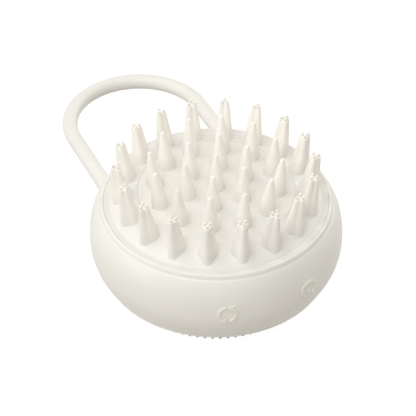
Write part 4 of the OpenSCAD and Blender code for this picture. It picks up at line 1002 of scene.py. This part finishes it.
# %% [markdown]
# ## Floor and light
# The photo stands on pure white. We don't flood the object with light to get that: the floor itself
# shines white, but only to the camera and to mirrors, and what light it returns to the object stays
# that of a plain pale floor. A little real shadow is kept under the object.

# %% Floor
FLOOR_HALF = 3000
FLOOR_PLAIN, FLOOR_WHITE, FLOOR_SHADOW = (0.5, 0.485, 0.46, 1), 0.96, (0.09, 0.09, 0.09, 1)
floor = mesh_object("floor", [(x * FLOOR_HALF, y * FLOOR_HALF, 0)
                              for x, y in ((-1, -1), (1, -1), (1, 1), (-1, 1))], [(0, 1, 2, 3)])
floor_finish = bpy.data.materials.new("pale_floor")
floor_finish.use_nodes = True
tree = floor_finish.node_tree
tree.nodes.remove(tree.nodes["Principled BSDF"])
rays = add(tree, "ShaderNodeLightPath")
seen = rays.outputs["Is Camera Ray"]
for kind in ("Is Glossy Ray", "Is Transmission Ray"):
    seen = add(tree, "ShaderNodeMath", None, {0: seen, 1: rays.outputs[kind]},
               operation="MAXIMUM").outputs[0]
plain = add(tree, "ShaderNodeBsdfDiffuse", {"Color": FLOOR_PLAIN})
white = add(tree, "ShaderNodeEmission", {"Color": (1, 1, 1, 1), "Strength": FLOOR_WHITE})
faint = add(tree, "ShaderNodeBsdfDiffuse", {"Color": FLOOR_SHADOW})
both = add(tree, "ShaderNodeAddShader", None, {0: white.outputs[0], 1: faint.outputs[0]})
chosen = add(tree, "ShaderNodeMixShader", None,
             {0: seen, 1: plain.outputs[0], 2: both.outputs[0]})
tree.links.new(chosen.outputs[0], tree.nodes["Material Output"].inputs["Surface"])
floor.data.materials.append(floor_finish)
print("floor:", 2 * FLOOR_HALF * MM, "m wide")

# %% World and lamps
WORLD_TINT, WORLD_STRENGTH = (1.0, 0.965, 0.885, 1), 0.57
LAMP_DISTANCE, LAMP_AIM_Z = 1.3, 0.03
world = bpy.data.worlds.new("studio")
scene.world = world
world.use_nodes = True
tree = world.node_tree
soft = tree.nodes["Background"]
soft.inputs["Color"].default_value = WORLD_TINT
soft.inputs["Strength"].default_value = WORLD_STRENGTH
white = add(tree, "ShaderNodeBackground", {"Color": (1, 1, 1, 1), "Strength": 1.0})
rays = add(tree, "ShaderNodeLightPath")
chosen = add(tree, "ShaderNodeMixShader", None,
             {0: rays.outputs["Is Camera Ray"], 1: soft.outputs[0], 2: white.outputs[0]})
tree.links.new(chosen.outputs[0], tree.nodes["World Output"].inputs["Surface"])


def lamp(name, azimuth, elevation, size, power, colour):
    """A round soft lamp that faces the object. Its azimuth is measured as the camera's is."""
    a, e = math.radians(azimuth), math.radians(elevation)
    out = Vector((math.sin(a) * math.cos(e), -math.cos(a) * math.cos(e), math.sin(e)))
    light = bpy.data.lights.new(name, "AREA")
    light.shape, light.size, light.energy, light.color = "DISK", size, power, colour
    made = bpy.data.objects.new(name, light)
    made.location = out * LAMP_DISTANCE + Vector((0, 0, LAMP_AIM_Z))
    made.rotation_euler = out.to_track_quat("Z", "Y").to_euler()
    scene.collection.objects.link(made)


# Name, azimuth and elevation in degrees, width in metres, power in watts, tint
LAMPS = [
    ("key_front_left", -45, 60, 0.7, 5.4, (0.93, 0.965, 1.0)),
    ("key_back_left", -135, 60, 0.7, 2.65, (0.93, 0.95, 1.0)),
    ("side_left", -90, 30, 0.7, 1.6, (0.93, 0.97, 1.0)),
    ("low_left", -90, 5, 0.7, 2.2, (1.0, 0.95, 0.92)),
    ("edge_right", 120, 22, 0.7, 2.8, (0.98, 1.0, 1.0)),
    ("low_right", 105, 6, 0.5, 1.6, (1.0, 0.99, 0.98)),
]
for entry in LAMPS:
    lamp(*entry)
print("lamps:", ", ".join(entry[0] for entry in LAMPS))
